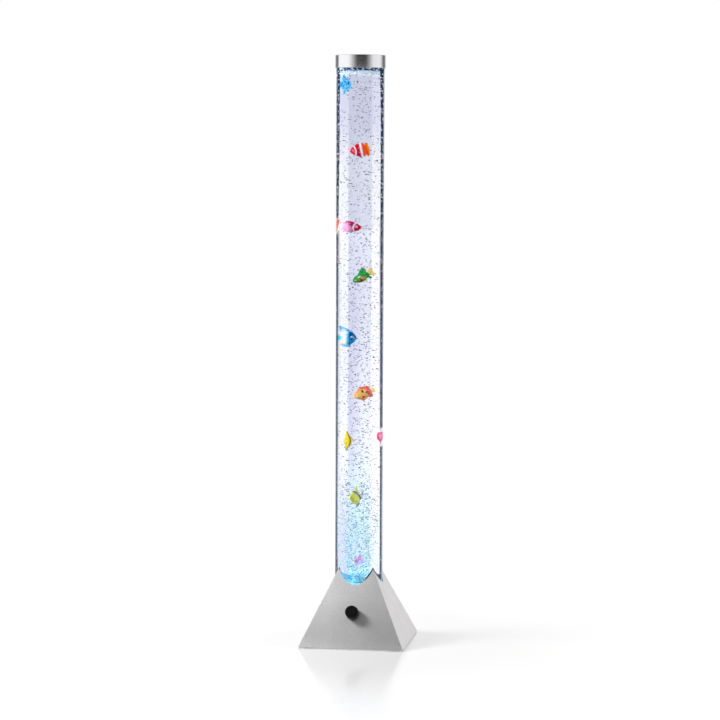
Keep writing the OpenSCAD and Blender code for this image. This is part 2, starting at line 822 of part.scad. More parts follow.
module fish_green() {
  color([0.12, 0.45, 0.15]) fish_at([2.5, 0.4, 747], 189, 36) union() {
    fish_body(33, 17);
    fin([[-12, 3], [-22, 9], [-26, 7], [-22, 0], [-24, -8], [-21, -8.5], [-12, -3]]);
    fin([[4, 7], [-4, 12], [-11, 16], [-15, 14], [-15.5, 8], [-10, 3]]);
    fin([[3, -7], [-1, -12], [-4, -11], [-5, -6]]);
    fin([[-7, -4], [-11, -11], [-14.5, -9], [-10, -3]]);
  }
}

module fish_blue_angel() {
  color([0.10, 0.45, 0.75]) fish_at([-17.9, -2.9, 624], 9, 0) union() {
    fish_body(28, 28);
    fin([[-11, 3], [-17, 6], [-18, 0], [-17, -6], [-11, -3]]);
    fin([[7, 9], [0, 18.5], [-9, 23], [-17, 25.5], [-14, 18], [-9, 7]]);
    fin([[6, -10], [3, -19.5], [-3, -19], [-10, -17], [-9, -6]]);
  }
}

module fish_orange() {
  color([0.90, 0.55, 0.20]) fish_at([4.7, 0.8, 509], 189, 26) union() {
    fish_body(30, 22);
    fin([[-12, 4], [-20, 6], [-22, 1], [-21, -5], [-12, -4]]);
    fin([[8, 7], [2, 12], [-4, 14.5], [-12, 14], [-16, 11], [-15, 5], [-12, 2]]);
    fin([[7, -7], [5, -13.5], [1, -12.5], [-2, -9]]);
    fin([[-4, -8], [-9, -12], [-14, -11], [-14.5, -5], [-11, -2]]);
  }
}

module fish_yellow_striped() {
  color([0.92, 0.82, 0.15]) fish_at([-18.1, -2.9, 413], 64, 0) union() {
    fish_body(28, 27);
    fin([[-10, 4], [-15, 6], [-18, 8], [-17, 0], [-18, -8], [-15, -6], [-10, -4]]);
    fin([[4, 10], [-1, 21.5], [-6, 19], [-9, 7]]);
    fin([[3, -11], [-2, -21.5], [-7, -18], [-9, -7]]);
  }
}

module fish_magenta() {
  color([0.80, 0.10, 0.35]) fish_at([26, 20, 421], 120, 0) union() {
    fish_body(26, 22);
    fin([[-9, 3], [-16, 8], [-17, 0], [-16, -8], [-9, -3]]);
    fin([[4, 9], [0, 19], [-5, 17], [-8, 6]]);
    fin([[3, -9], [-1, -18], [-6, -15], [-8, -6]]);
  }
}

module fish_yellow_blue() {
  color([0.88, 0.80, 0.20]) fish_at([-5.3, -0.9, 298], 234, 0) union() {
    fish_body(28, 28);
    fin([[-10, 4], [-15, 6], [-14.5, 0], [-15, -6], [-10, -4]]);
    fin([[2, 12], [0, 18], [-1, 23.5], [-3.5, 23], [-3.5, 17], [-7, 10]]);
    fin([[3, -12], [-2, -21], [-7, -18], [-9, -8]]);
  }
}

module fish_pink_violet() {
  color([0.80, 0.45, 0.70]) fish_at([0.2, 0.1, 165], 60, 20) union() {
    fish_body(20, 16);
    fin([[-6, 3], [-12, 8], [-13, 0], [-12, -7], [-6, -3]]);
    fin([[4, 5], [1, 15], [-3, 14], [-7, 4]]);
    fin([[3, -5], [0, -13], [-5, -11], [-7, -3]]);
  }
}

// ---------------------------------------------------------------- assembly

base_housing();
housing_tabs();
base_plate();
tab_screws();
rubber_feet();
socket_pillars();
pillar_screws();
tube_socket();
seat_gasket();
clamp_screws();
tube();
tube_floor();
air_nozzle();
nozzle_nut();
nozzle_seal();
air_stone();
led_board();
leds();
led_screws();
control_board();
board_parts();
board_spacers();
board_screws();
dimmer_body();
dimmer_washer();
dimmer_nut();
dimmer_shaft();
knob();
knob_face();
dc_inlet();
inlet_nut();
wiring();
pump_pads();
pump_base();
pump_cover();
pump_screws();
pump_core();
pump_coil();
pump_pivot();
pump_arm();
pump_magnet();
pump_valve_box();
pump_diaphragm();
hose_lower();
check_valve();
hose_upper();
cap_shell();
cap_liner();
fish_spotted_blue();
fish_red_banded();
fish_pink_banded();
fish_green();
fish_blue_angel();
fish_orange();
fish_yellow_striped();
fish_magenta();
fish_yellow_blue();
fish_pink_violet();
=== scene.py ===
"""Looks of the bubble tube floor lamp: steel foot, water-filled tube, bubbles, plastic fish and cap."""

import json
import math

import bmesh
import bpy
from bpy.props import FloatProperty, FloatVectorProperty, IntProperty, PointerProperty
from mathutils import Matrix, Vector, noise


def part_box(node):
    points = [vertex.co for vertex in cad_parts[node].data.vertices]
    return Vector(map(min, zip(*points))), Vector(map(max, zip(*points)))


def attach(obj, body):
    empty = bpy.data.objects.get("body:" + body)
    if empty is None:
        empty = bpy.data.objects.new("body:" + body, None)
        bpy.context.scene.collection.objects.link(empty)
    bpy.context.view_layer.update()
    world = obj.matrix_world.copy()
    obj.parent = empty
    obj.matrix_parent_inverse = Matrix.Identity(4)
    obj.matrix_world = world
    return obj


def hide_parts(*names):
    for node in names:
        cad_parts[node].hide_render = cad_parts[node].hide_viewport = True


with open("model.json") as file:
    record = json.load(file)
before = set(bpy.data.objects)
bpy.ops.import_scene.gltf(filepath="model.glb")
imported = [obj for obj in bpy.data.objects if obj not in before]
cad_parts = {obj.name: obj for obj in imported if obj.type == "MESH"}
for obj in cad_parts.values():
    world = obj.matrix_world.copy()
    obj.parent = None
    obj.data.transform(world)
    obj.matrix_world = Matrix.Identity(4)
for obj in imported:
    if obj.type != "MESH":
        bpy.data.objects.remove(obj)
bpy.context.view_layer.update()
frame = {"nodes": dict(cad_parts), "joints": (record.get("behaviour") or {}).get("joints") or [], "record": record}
NODE_SLOTS = {part["node"]: part["material_slot"] for part in frame["record"]["subparts"]}

bl_info = {
    "name": "Bubble Tube Floor Lamp",
    "version": (1, 0, 0),
    "blender": (4, 5, 0),
    "location": "View3D > Sidebar > Bubble Lamp",
    "description": "Dresses the packed lamp with water, bubbles, fish, steel and light",
    "category": "Object",
}

MM = 0.001


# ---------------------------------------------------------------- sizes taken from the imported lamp

def size_of(node):
    """Lowest corner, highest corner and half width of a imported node."""
    low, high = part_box(node)
    return low, high, (high.x - low.x) / 2


FOOT_LOW, _, FOOT_HALF = size_of("base_housing")
CAP_LOW, CAP_HIGH, CAP_R = size_of("cap_shell")
DISC_LOW, DISC_HIGH, _ = size_of("tube_floor")
TUBE_LOW, TUBE_HIGH, _ = size_of("tube")
STONE_LOW, STONE_HIGH, STONE_R = size_of("air_stone")

APEX_Z = 229 * MM
OPENING_R = 50.4 * MM
SHEET = 1 * MM
TUBE_R = 49 * MM
TUBE_IN_R = 46 * MM
KNOB_Z = 67.7 * MM
KNOB_GAP = 0.8 * MM
KNOB_H = 16 * MM
SLOPE = FOOT_HALF / (APEX_Z - FOOT_LOW.z)
TILT = math.atan(SLOPE)
SHEET_RUN = SHEET / math.cos(TILT)


def half_at(z):
    """Half the width of the foot at a height."""
    return (APEX_Z - z) * SLOPE


# Each fish's place in mm, turn about the upright and nose-down tilt in degrees, as in the solids
FISH_PLACES = {
    "fish_spotted_blue": ((-23.6, -3.8, 1136), 42, 0),
    "fish_red_banded": ((-1.2, -0.2, 1004), 189, 10),
    "fish_pink_banded": ((-15.2, 15.8, 849), 9, 8),
    "fish_green": ((2.5, 0.4, 747), 189, 36),
    "fish_blue_angel": ((-17.9, -2.9, 624), 9, 0),
    "fish_orange": ((4.7, 0.8, 509), 189, 26),
    "fish_yellow_striped": ((-18.1, -2.9, 413), 64, 0),
    "fish_magenta": ((26, 20, 421), 120, 0),
    "fish_yellow_blue": ((-5.3, -0.9, 298), 234, 0),
    "fish_pink_violet": ((0.2, 0.1, 165), 60, 20),
}


# ---------------------------------------------------------------- settings

class FootSettings(bpy.types.PropertyGroup):
    """Finish of the steel foot and cap."""
    steel: FloatVectorProperty(name="Steel", description="Colour of the brushed steel",
                               subtype="COLOR", size=3, min=0, max=1, default=(0.86, 0.855, 0.86))
    fold: FloatProperty(name="Fold radius", description="Radius of the folded corners at the floor",
                        unit="LENGTH", default=1.6 * MM, min=0.2 * MM, max=4 * MM)
    roughness: FloatProperty(name="Roughness", description="Mean roughness of the brushing",
                             subtype="FACTOR", default=0.34, min=0.05, max=1)


class WaterSettings(bpy.types.PropertyGroup):
    """The water column."""
    surface: FloatProperty(name="Surface", description="Height of the water's surface",
                           unit="LENGTH", default=1166.5 * MM)
    wave: FloatProperty(name="Wave", description="Height of the ripples",
                        unit="LENGTH", default=1.2 * MM, min=0, max=3 * MM)
    tint: FloatVectorProperty(name="Tint", description="Colour that the water lets through",
                              subtype="COLOR", size=3, min=0, max=1, default=(0.66, 0.72, 0.93))
    depth: FloatProperty(name="Density", description="How strongly the tint takes hold",
                         default=2.2, min=0, max=50)


class BubbleSettings(bpy.types.PropertyGroup):
    """The rising air bubbles."""
    count: IntProperty(name="Count", description="How many bubbles rise in the tube",
                       default=5200, min=10, max=8000)
    plume: IntProperty(name="Plume", description="How many more fan out above the air stone",
                       default=1500, min=10, max=3000)
    smallest: FloatProperty(name="Smallest", description="Radius of the smallest bubble",
                            unit="LENGTH", default=0.72 * MM)
    largest: FloatProperty(name="Largest", description="Radius of the largest bubble",
                           unit="LENGTH", default=1.20 * MM)
    crowding: FloatProperty(name="Crowding", description="Above 1, bubbles gather near the bottom",
                            default=1.2, min=0.5, max=4)
    seed: IntProperty(name="Seed", description="Seed of the bubbles' places", default=7)
    tone: FloatVectorProperty(name="Rim", description="Colour of a bubble's dark rim",
                              subtype="COLOR", size=3, min=0, max=1, default=(0.09, 0.11, 0.20))


class GlowSettings(bpy.types.PropertyGroup):
    """The light that shines up through the tube's floor."""
    colour: FloatVectorProperty(name="Glow", description="Colour of the light from below",
                                subtype="COLOR", size=3, min=0, max=1, default=(0.12, 0.66, 0.88))
    height: FloatProperty(name="Reach", description="Height to which the glow reaches",
                          unit="LENGTH", default=230 * MM)
    strength: FloatProperty(name="Strength", description="Strength of the lit floor", default=1.0)


class StageSettings(bpy.types.PropertyGroup):
    """Floor, lamps and camera."""
    floor: FloatVectorProperty(name="Floor", description="Colour of the floor",
                               subtype="COLOR", size=3, min=0, max=1, default=(0.25, 0.25, 0.25))
    ambient: FloatProperty(name="Ambient", description="Strength of the even light", default=0.37)
    key: FloatProperty(name="Key", description="Power of the large soft lamp in watts", default=90.0)
    camera_azimuth: FloatProperty(name="Camera azimuth", description="Camera's direction from the front",
                                  subtype="ANGLE", default=math.radians(9.17))
    camera_distance: FloatProperty(name="Camera distance", description="Distance from the tube's axis",
                                   unit="LENGTH", default=4.854)
    camera_height: FloatProperty(name="Camera height", description="Height of the lens",
                                 unit="LENGTH", default=0.9712)
    camera_dip: FloatProperty(name="Camera dip", description="How far the camera looks down",
                              subtype="ANGLE", default=math.radians(4.634))
    camera_roll: FloatProperty(name="Camera roll", description="Roll of the camera",
                               subtype="ANGLE", default=math.radians(0.204))
    camera_lens: FloatProperty(name="Lens", description="Focal length on a 36 mm sensor", default=119.34)


# ---------------------------------------------------------------- node tree helper

class Nodes:
    """Adds and joins nodes in one tree, with values or sockets as inputs."""

    def __init__(self, tree):
        self.tree = tree

    def add(self, kind, inputs=None, out=0, **settings):
        node = self.tree.nodes.new(kind)
        for name, value in settings.items():
            setattr(node, name, value)
        self.fill(node, inputs or {})
        return node.outputs[out] if len(node.outputs) else node

    def fill(self, node, inputs):
        for name, value in inputs.items():
            socket = node.inputs[name]
            if isinstance(value, bpy.types.NodeSocket):
                self.tree.links.new(value, socket)
            else:
                socket.default_value = value

    def maths(self, operation, a, b=0.0, c=0.0):
        return self.add("ShaderNodeMath", {0: a, 1: b, 2: c}, operation=operation)

    def times(self, a, b):
        return self.maths("MULTIPLY", a, b)

    def plus(self, a, b):
        return self.maths("ADD", a, b)

    def minus(self, a, b):
        return self.maths("SUBTRACT", a, b)

    def rest(self, share):
        """What a share leaves of 1."""
        return self.minus(1.0, share)

    def larger(self, a, b):
        return self.maths("MAXIMUM", a, b)

    def size(self, value):
        """A value without its sign."""
        return self.maths("ABSOLUTE", value)

    def smooth(self, value, low, high, to_low=0.0, to_high=1.0):
        """A soft step of value from low to high."""
        return self.add("ShaderNodeMapRange", {0: value, 1: low, 2: high, 3: to_low, 4: to_high},
                        interpolation_type="SMOOTHSTEP")

    def mix(self, factor, a, b, blend="MIX"):
        return self.add("ShaderNodeMix", {0: factor, 6: a, 7: b}, out=2,
                        data_type="RGBA", blend_type=blend)

    def layers(self, colour, *laid):
        """A colour with others laid over it in turn, each given as (mask, colour)."""
        for mask, over in laid:
            colour = self.mix(mask, colour, over)
        return colour

    def ramp(self, value, stops):
        """A value read off straight lines between stops of (position, value)."""
        low, high = stops[0][0], stops[-1][0]
        part = self.add("ShaderNodeMapRange", {0: value, 1: low, 2: high, 3: 0.0, 4: 1.0})
        node = self.tree.nodes.new("ShaderNodeValToRGB")
        points = node.color_ramp.elements
        for at, _ in stops[1:-1]:
            points.new((at - low) / (high - low))
        for point, (_, level) in zip(points, stops):
            point.color = (level, level, level, 1)
        self.fill(node, {0: part})
        return node.outputs[0]

    def place(self, scale=(1, 1, 1)):
        """Object coordinates, stretched by scale."""
        coords = self.add("ShaderNodeTexCoord", out=3)
        return self.add("ShaderNodeMapping", {"Vector": coords, "Scale": scale})

    def vector(self, operation, a, b=(0, 0, 0)):
        return self.add("ShaderNodeVectorMath", {0: a, 1: b}, operation=operation)

    def length(self, vector):
        return self.add("ShaderNodeVectorMath", {0: vector}, out=1, operation="LENGTH")

    def split(self, vector):
        """The three parts of a vector."""
        node = self.tree.nodes.new("ShaderNodeSeparateXYZ")
        self.fill(node, {0: vector})
        return node.outputs

    def facing(self):
        """0 where a surface faces the eye and 1 where it is seen along itself."""
        return self.add("ShaderNodeLayerWeight", {"Blend": 0.5}, out=1)

    def cells(self, at, scale=1.0, randomness=1.0, **settings):
        return self.add("ShaderNodeTexVoronoi", {"Vector": at, "Scale": scale, "Randomness": randomness},
                        **settings)

    def noise(self, scale, amount=1.0, detail=3.0):
        """A noise value on stretched object coordinates."""
        return self.add("ShaderNodeTexNoise", {"Vector": self.place(scale), "Scale": amount,
                                               "Detail": detail})

    def axes(self):
        """The three object coordinates, in metres."""
        return self.split(self.add("ShaderNodeTexCoord", out=3))

    def between(self, value, low, high, soft):
        """1 between low and high, with soft edges inside them."""
        rise = self.smooth(value, low, low + soft)
        return self.times(rise, self.smooth(value, high, high - soft))

    def bump(self, value, depth, strength=1.0):
        return self.add("ShaderNodeBump", {"Height": value, "Distance": depth, "Strength": strength})


def rgba(colour):
    return (*colour, 1.0)


def with_painted_glow(n, shader, colour, glow, roughness=0.3, gloss=0.1):
    """Gives a shader a painted glow in its own colour: the surface glows a little though it is no lamp."""
    n.fill(shader, {"Base Color": colour, "Roughness": roughness, "Specular IOR Level": gloss,
                    "Emission Color": colour, "Emission Strength": glow})


def new_material(name):
    """A material with one Principled shader. Returns the material, its Nodes and the shader node."""
    material = bpy.data.materials.new(name)
    material.use_nodes = True
    tree = material.node_tree
    shader = tree.nodes["Principled BSDF"]
    return material, Nodes(tree), shader


def plain_finish(name, colour, roughness, grain=1.0, metallic=0.0, spread=0.12, depth=0.02 * MM):
    """Moulded, rubber or plated finish: a fine grain in colour, roughness and height."""
    material, n, shader = new_material(name)
    fine = n.noise((1, 1, 1), 900 * grain)
    broad = n.noise((1, 1, 1), 45 * grain)
    dark = [c * (1 - spread) for c in colour]
    light = [min(1, c * (1 + spread)) for c in colour]
    n.fill(shader, {
        "Base Color": n.mix(broad, rgba(dark), rgba(light)),
        "Roughness": n.smooth(fine, 0.2, 0.8, roughness * 0.85, min(1, roughness * 1.15)),
        "Metallic": metallic,
        "Normal": n.bump(fine, depth, 0.5),
    })
    return material


def brushed_steel(name, colour, roughness):
    """Satin sheet steel: a fine cloudy grain over faint level lines, in tone, gloss and height. Painted
    shade makes the front face brightest at its upper left and darker towards its right and lower down,
    and keeps the other faces darker than the front; a painted blue glow lights the inside of the sheet
    round the tube."""
    material, n, shader = new_material(name)
    lines = n.noise((30, 30, 1500), 1.0, 3.0)
    grain = n.noise((1, 1, 1), 420.0, 4.0)
    cloud = n.noise((1, 1, 1), 26.0)
    tone = n.times(n.smooth(grain, 0.3, 0.7, 0.94, 1.05), n.smooth(cloud, 0.3, 0.7, 0.97, 1.03))
    tone = n.times(tone, n.smooth(lines, 0.3, 0.7, 0.985, 1.01))
    x, y, z = n.axes()
    front = n.smooth(n.minus(n.times(y, -1.0), n.size(x)),
                     -0.0005, 0.0005)
    # Painted shade on the front face: lighter to the left and at the top, darker to the right and lower down; the
    # other faces get a flat darker tone.
    across = n.ramp(x, [(-0.11, 1.0), (-0.05, 0.97), (-0.02, 0.90), (0.02, 0.80), (0.05, 0.72),
                        (0.11, 0.70)])
    rise = n.ramp(z, [(0.002, 0.90), (0.008, 0.88), (0.012, 0.84), (0.027, 0.80), (0.050, 0.83),
                      (0.075, 0.90), (0.100, 0.99), (0.117, 1.0)])
    painted_shade = n.mix(front, (0.80, 0.80, 0.80, 1), n.mix(1.0, across, rise, "MULTIPLY"))
    tone = n.times(tone, painted_shade)
    # Painted glow: the inside of the sheet round the tube glows blue, standing in for the light from the lamps
    # below the tube.
    reach = n.larger(n.size(x), n.size(y))
    depth = n.minus(n.maths("MULTIPLY_ADD", z, -SLOPE, APEX_Z * SLOPE), reach)
    inside = n.smooth(depth, SHEET_RUN * 0.4, SHEET_RUN * 0.6)
    inside = n.times(inside, n.smooth(z, 0.110, 0.120))
    n.fill(shader, {
        "Emission Color": n.mix(inside, (0, 0, 0, 1), (0.04, 0.42, 0.64, 1)),
        "Emission Strength": 1.0,
        "Base Color": n.add("ShaderNodeVectorMath", {0: colour, "Scale": tone}, operation="SCALE"),
        "Roughness": n.smooth(grain, 0.3, 0.7, roughness * 0.92, roughness * 1.10),
        "Metallic": 0.55,
        "Normal": n.bump(grain, 0.004 * MM, 0.5),
    })
    return material


# ---------------------------------------------------------------- mesh helpers

def piece_from(name, vertices, faces, material, body="root", sharp=30):
    """A mesh object that rides on a body, smooth but for edges over the sharp angle."""
    mesh = bpy.data.meshes.new(name)
    mesh.from_pydata([tuple(v) for v in vertices], [], faces)
    mesh.validate()
    return finish_piece(name, mesh, material, body, sharp)


def finish_piece(name, mesh, material, body="root", sharp=30):
    mesh.polygons.foreach_set("use_smooth", [True] * len(mesh.polygons))
    mesh.set_sharp_from_angle(angle=math.radians(sharp))
    mesh.materials.clear()
    mesh.materials.append(material)
    obj = bpy.data.objects.new(name, mesh)
    bpy.context.scene.collection.objects.link(obj)
    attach(obj, body)
    return obj


def skin_over(rings, closed=False):
    """Faces between rings of vertex numbers taken in order. A ring of one number is a pole."""
    faces = []
    following = rings[1:] + rings[:1] if closed else rings[1:]
    for low, high in zip(rings, following):
        count = max(len(low), len(high))
        for i in range(count):
            j = (i + 1) % count
            if len(low) == 1:
                faces.append((low[0], high[j], high[i]))
            elif len(high) == 1:
                faces.append((low[i], low[j], high[0]))
            else:
                faces.append((low[i], low[j], high[j], high[i]))
    return faces


def spun(profile, segments=128, closed=False):
    """Vertices and faces of a profile of (radius, height) turned about Z, listed so that faces
    point outwards when the profile runs upwards on the outside."""
    vertices, rings = [], []
    for r, z in profile:
        steps = segments if r > 0 else 1
        rings.append(list(range(len(vertices), len(vertices) + steps)))
        for i in range(steps):
            a = math.tau * i / steps
            vertices.append(Vector((r * math.cos(a), r * math.sin(a), z)))
    return vertices, skin_over(rings, closed)


def arc(cx, cz, r, start, stop, steps=5):
    """Points of an arc in a profile, angles in degrees from +R towards +Z."""
    angles = [math.radians(start + (stop - start) * i / steps) for i in range(steps + 1)]
    return [(cx + r * math.cos(a), cz + r * math.sin(a)) for a in angles]


def moved(vertices, matrix):
    return [matrix @ Vector(v) for v in vertices]


def on_front(z):
    """Turns +Z to the outward normal of the foot's front face, at a height on its middle line."""
    return Matrix.Translation((0, -half_at(z), z)) @ Matrix.Rotation(math.pi / 2 - TILT, 4, "X")


# ---------------------------------------------------------------- foot

def foot_outline(fold):
    """One turn round the foot's lower edge, folded corners included, counter-clockwise."""
    guard = 0.6 * MM
    steps, corner_steps = 36, 6
    inner = FOOT_HALF - fold
    side = [-inner, -inner + guard]
    side += [(-inner + guard) + (2 * inner - 2 * guard) * i / steps for i in range(1, steps)]
    side += [inner - guard, inner]
    points = []
    for quarter in range(4):
        turn = Matrix.Rotation(math.pi / 2 * quarter, 2)
        points += [turn @ Vector((x, -FOOT_HALF)) for x in side]
        for i in range(1, corner_steps):
            a = math.radians(-90 + 90 * i / corner_steps)
            points.append(turn @ Vector((inner + fold * math.cos(a), -inner + fold * math.sin(a))))
    return points


def foot_mesh(fold, rows=22):
    """The folded sheet: an outer and an inner skin joined along the floor edge and the round cut."""
    outline = foot_outline(fold)
    count = len(outline)
    vertices, faces = [], []
    for inset in (0.0, SHEET_RUN):
        for row in range(rows + 1):
            for p in outline:
                reach = p.length / FOOT_HALF
                top = APEX_Z - (OPENING_R / reach + inset) / SLOPE
                z = FOOT_LOW.z + (top - FOOT_LOW.z) * row / rows
                shrink = (half_at(z) - inset) / FOOT_HALF
                vertices.append((p.x * shrink, p.y * shrink, z))
    skin = (rows + 1) * count
    for i in range(count):
        j = (i + 1) % count
        for row in range(rows):
            a, b = row * count + i, row * count + j
            c, d = a + count, b + count
            faces.append((a, b, d, c))
            faces.append((skin + a, skin + c, skin + d, skin + b))
        top = rows * count
        faces.append((top + i, top + j, skin + top + j, skin + top + i))
        faces.append((i, skin + i, skin + j, j))
    return vertices, faces


class LAMP_OT_foot(bpy.types.Operator):
    """Folded steel foot with its round opening."""
    bl_idname = "lamp.foot"
    bl_label = "Foot"

    def execute(self, context):
        s = context.scene.lamp_foot
        steel = brushed_steel("brushed_foot_steel", s.steel, s.roughness)
        vertices, faces = foot_mesh(s.fold)
        foot = piece_from("foot_shell", vertices, faces, steel, sharp=40)
        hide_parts("base_housing")
        return {"FINISHED"}


# ---------------------------------------------------------------- knob

class LAMP_OT_knob(bpy.types.Operator):
    """Black control knob with a groove round its face."""
    bl_idname = "lamp.knob"
    bl_label = "Knob"

    def execute(self, context):
        material, n, shader = new_material("knob_black")
        fine = n.noise((1, 1, 1), 1500)
        n.fill(shader, {
            "Base Color": n.mix(fine, (0.002, 0.002, 0.003, 1), (0.007, 0.007, 0.008, 1)),
            "Roughness": n.smooth(fine, 0.2, 0.8, 0.34, 0.48),
            "Specular IOR Level": 0.16,
        })
        r = 13.3 * MM
        hollow_r, hollow = 8 * MM, 6 * MM
        back_edge, front_edge = 0.4 * MM, 1.2 * MM
        top = KNOB_GAP + KNOB_H
        groove = top - 0.5 * MM
        profile = [(hollow_r, KNOB_GAP + hollow), (hollow_r, KNOB_GAP), (r - back_edge, KNOB_GAP)]
        profile += arc(r - back_edge, KNOB_GAP + back_edge, back_edge, -90, 0)
        profile += arc(r - front_edge, top - front_edge, front_edge, 0, 90, 7)
        profile += [(r * 0.80, top), (r * 0.78, groove), (r * 0.72, groove)]
        profile += [(r * 0.70, top), (r * 0.35, top - 0.15 * MM), (0, top - 0.2 * MM)]
        vertices, faces = spun(profile, 96)
        knob = piece_from("knob_body", moved(vertices, on_front(KNOB_Z)), faces, material, "knob", 35)
        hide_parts("knob", "knob_face")
        return {"FINISHED"}


# ---------------------------------------------------------------- tube, its floor and the water

# How far the surface turns from the eye, by height, where the tube's painted dark edge starts on the
# left and on the right, and where the paler line outside it, a painted reflection, starts. The dark
# edge is painted shade that stands in for the dark surroundings seen through the curved wall.
EDGE_LEFT = [(0.10, 0.47), (0.20, 0.55), (0.84, 0.54), (1.00, 0.465), (1.18, 0.44)]
EDGE_RIGHT = [(0.10, 0.50), (0.36, 0.50), (0.50, 0.48), (0.75, 0.455), (1.08, 0.44), (1.18, 0.38)]
EDGE_OUTER = [(0.10, 0.64), (0.60, 0.63), (0.80, 0.64), (0.95, 0.68), (1.18, 0.66)]
# Heights between which the dark edge is broken beside a fish close to the wall
BREAK_LEFT = (0.834, 0.868)
BREAK_RIGHT = (0.402, 0.442)
CLEAR_TINT = (0.985, 0.99, 1, 1)
FROTH_TINT = (0.94, 0.97, 1, 1)


def painted_dark_rim(n, facing, side, cells):
    """Mask of the painted dark edges, painted shade that stands in for the dark surroundings seen
    through the curved wall, with bright flecks higher up that are painted glints and a break beside
    two of the fish.
    """
    x, y, z = n.axes()
    start = n.mix(side, n.ramp(z, EDGE_LEFT), n.ramp(z, EDGE_RIGHT))
    edge = n.smooth(n.minus(facing, start), 0.0, 0.03)
    painted_glints = n.minus(cells, n.smooth(z, 0.42, 0.85, 0.15, 0.30))
    edge = n.times(edge, n.smooth(painted_glints, 0.0, 0.03))
    left = n.times(n.between(z, *BREAK_LEFT, 0.003), n.smooth(x, -0.028, -0.034))
    right = n.times(n.between(z, *BREAK_RIGHT, 0.003), n.smooth(x, 0.036, 0.041))
    breaks = n.times(n.plus(left, right), n.smooth(y, 0.011, 0.006))
    return n.times(edge, n.rest(breaks))


def painted_foot_shadow(n):
    """Mask of the painted shadow line where the tube drops into the foot: thin in front, thick at the
    sides and behind."""
    x, y, z = n.axes()
    slant = n.maths("DIVIDE", n.larger(n.size(x), n.size(y)), SLOPE)
    over = n.plus(n.minus(z, APEX_Z), slant)
    thick = n.plus(n.smooth(y, -0.030, -0.002, 0.0, 16.0), n.smooth(x, -0.036, -0.046, 0.0, 9.0))
    line = n.smooth(n.minus(n.maths("DIVIDE", over, MM), n.plus(thick, 1.5)), 0.3, -0.6)
    return n.times(line, n.rest(n.between(x, -0.034, 0.022, 0.006)))


def tube_tint(n, facing, side, skin, cells):
    """Tint of the clear wall, with painted light in it: deeper in a band that faces the eye, clearer
    beside it as painted highlight bands, cyan low down as painted light from the lamps below, and
    otherwise set by height.
    """
    x, _, z = n.axes()
    low, upper = n.smooth(z, 0.44, 0.26), n.smooth(z, 0.72, 0.80)
    froth = (n.smooth(z, 1.150, 1.157), FROTH_TINT)
    # Painted light: the cyan layers low down stand in for the lamps' glow from below, and the clear tint beside
    # the middle band stands in for bright studio bands, a painted highlight.
    left = n.layers((0.42, 0.43, 0.61, 1), (upper, (0.52, 0.55, 0.70, 1)), (low, (0.42, 0.67, 0.83, 1)))
    right = n.layers((0.70, 0.72, 0.81, 1), (n.smooth(z, 0.54, 0.62), (0.60, 0.61, 0.75, 1)),
                     (upper, (0.62, 0.645, 0.78, 1)), (low, (0.54, 0.80, 0.90, 1)))
    middle = n.layers(left, (n.smooth(x, -0.012, 0.022), right),
                      (n.smooth(z, 0.97, 1.07), (0.42, 0.44, 0.60, 1)), froth)
    left_half = n.times(n.smooth(z, 0.82, 0.62), n.rest(side))
    lower_left = n.times(n.smooth(z, 0.42, 0.24), n.rest(side))
    beside = n.layers(CLEAR_TINT, (n.smooth(z, 0.93, 1.10), (0.60, 0.61, 0.83, 1)), froth,
                      (left_half, (0.80, 0.81, 0.91, 1)), (lower_left, (0.54, 0.62, 0.82, 1)))
    band = n.times(n.smooth(facing, 0.15, 0.10), skin)
    amber = n.times(n.between(facing, 0.34, 0.41, 0.02), n.times(side, skin))
    amber = n.times(amber, n.times(n.smooth(z, 0.86, 0.98), n.smooth(cells, 0.22, 0.16)))
    return n.layers(CLEAR_TINT, (skin, n.mix(band, beside, middle)), (amber, (0.55, 0.16, 0.02, 1)))


def clear_tube_material():
    """Clear acrylic over the water, with painted light in its colour: tinted face on, painted dark blue
    shade where it is seen along its curve and a painted shadow line where it drops into the foot, a
    paler painted reflection outside the right edge and a faint painted blue glow in the dark edges."""
    material, n, shader = new_material("clear_acrylic")
    x, _, z = n.axes()
    facing = n.facing()
    outside = n.rest(n.add("ShaderNodeNewGeometry", out=6))
    radius = n.length(n.place((1, 1, 0)))
    skin = n.times(outside, n.maths("GREATER_THAN", radius, (TUBE_R + TUBE_IN_R) / 2))
    side = n.smooth(x, -0.02, 0.02)
    cells = n.cells(n.place((110, 110, 300)))
    # Painted shade and light: the dark edges and the shadow line at the foot, the paler reflection outside the
    # right edge, and the faint blue glow in the edges, stronger on the left.
    dark = n.times(n.larger(painted_dark_rim(n, facing, side, cells), painted_foot_shadow(n)), skin)
    outer = n.times(n.smooth(n.minus(facing, n.ramp(z, EDGE_OUTER)), 0.0, 0.07), side)
    dark_tint = n.mix(outer, (0.0002, 0.0008, 0.004, 1), (0.05, 0.09, 0.22, 1))
    painted_rim_glow = n.times(dark, n.maths("MULTIPLY_ADD", side, -0.65, 1.0))
    n.fill(shader, {
        "Base Color": n.mix(dark, tube_tint(n, facing, side, skin, cells), dark_tint),
        "Roughness": 0.0,
        "IOR": 1.49,
        "Specular Tint": (0, 0, 0, 1),
        "Transmission Weight": 1.0,
        "Emission Color": n.mix(painted_rim_glow, (0, 0, 0, 1), (0.001, 0.009, 0.030, 1)),
        "Emission Strength": 1.0,
    })
    return material


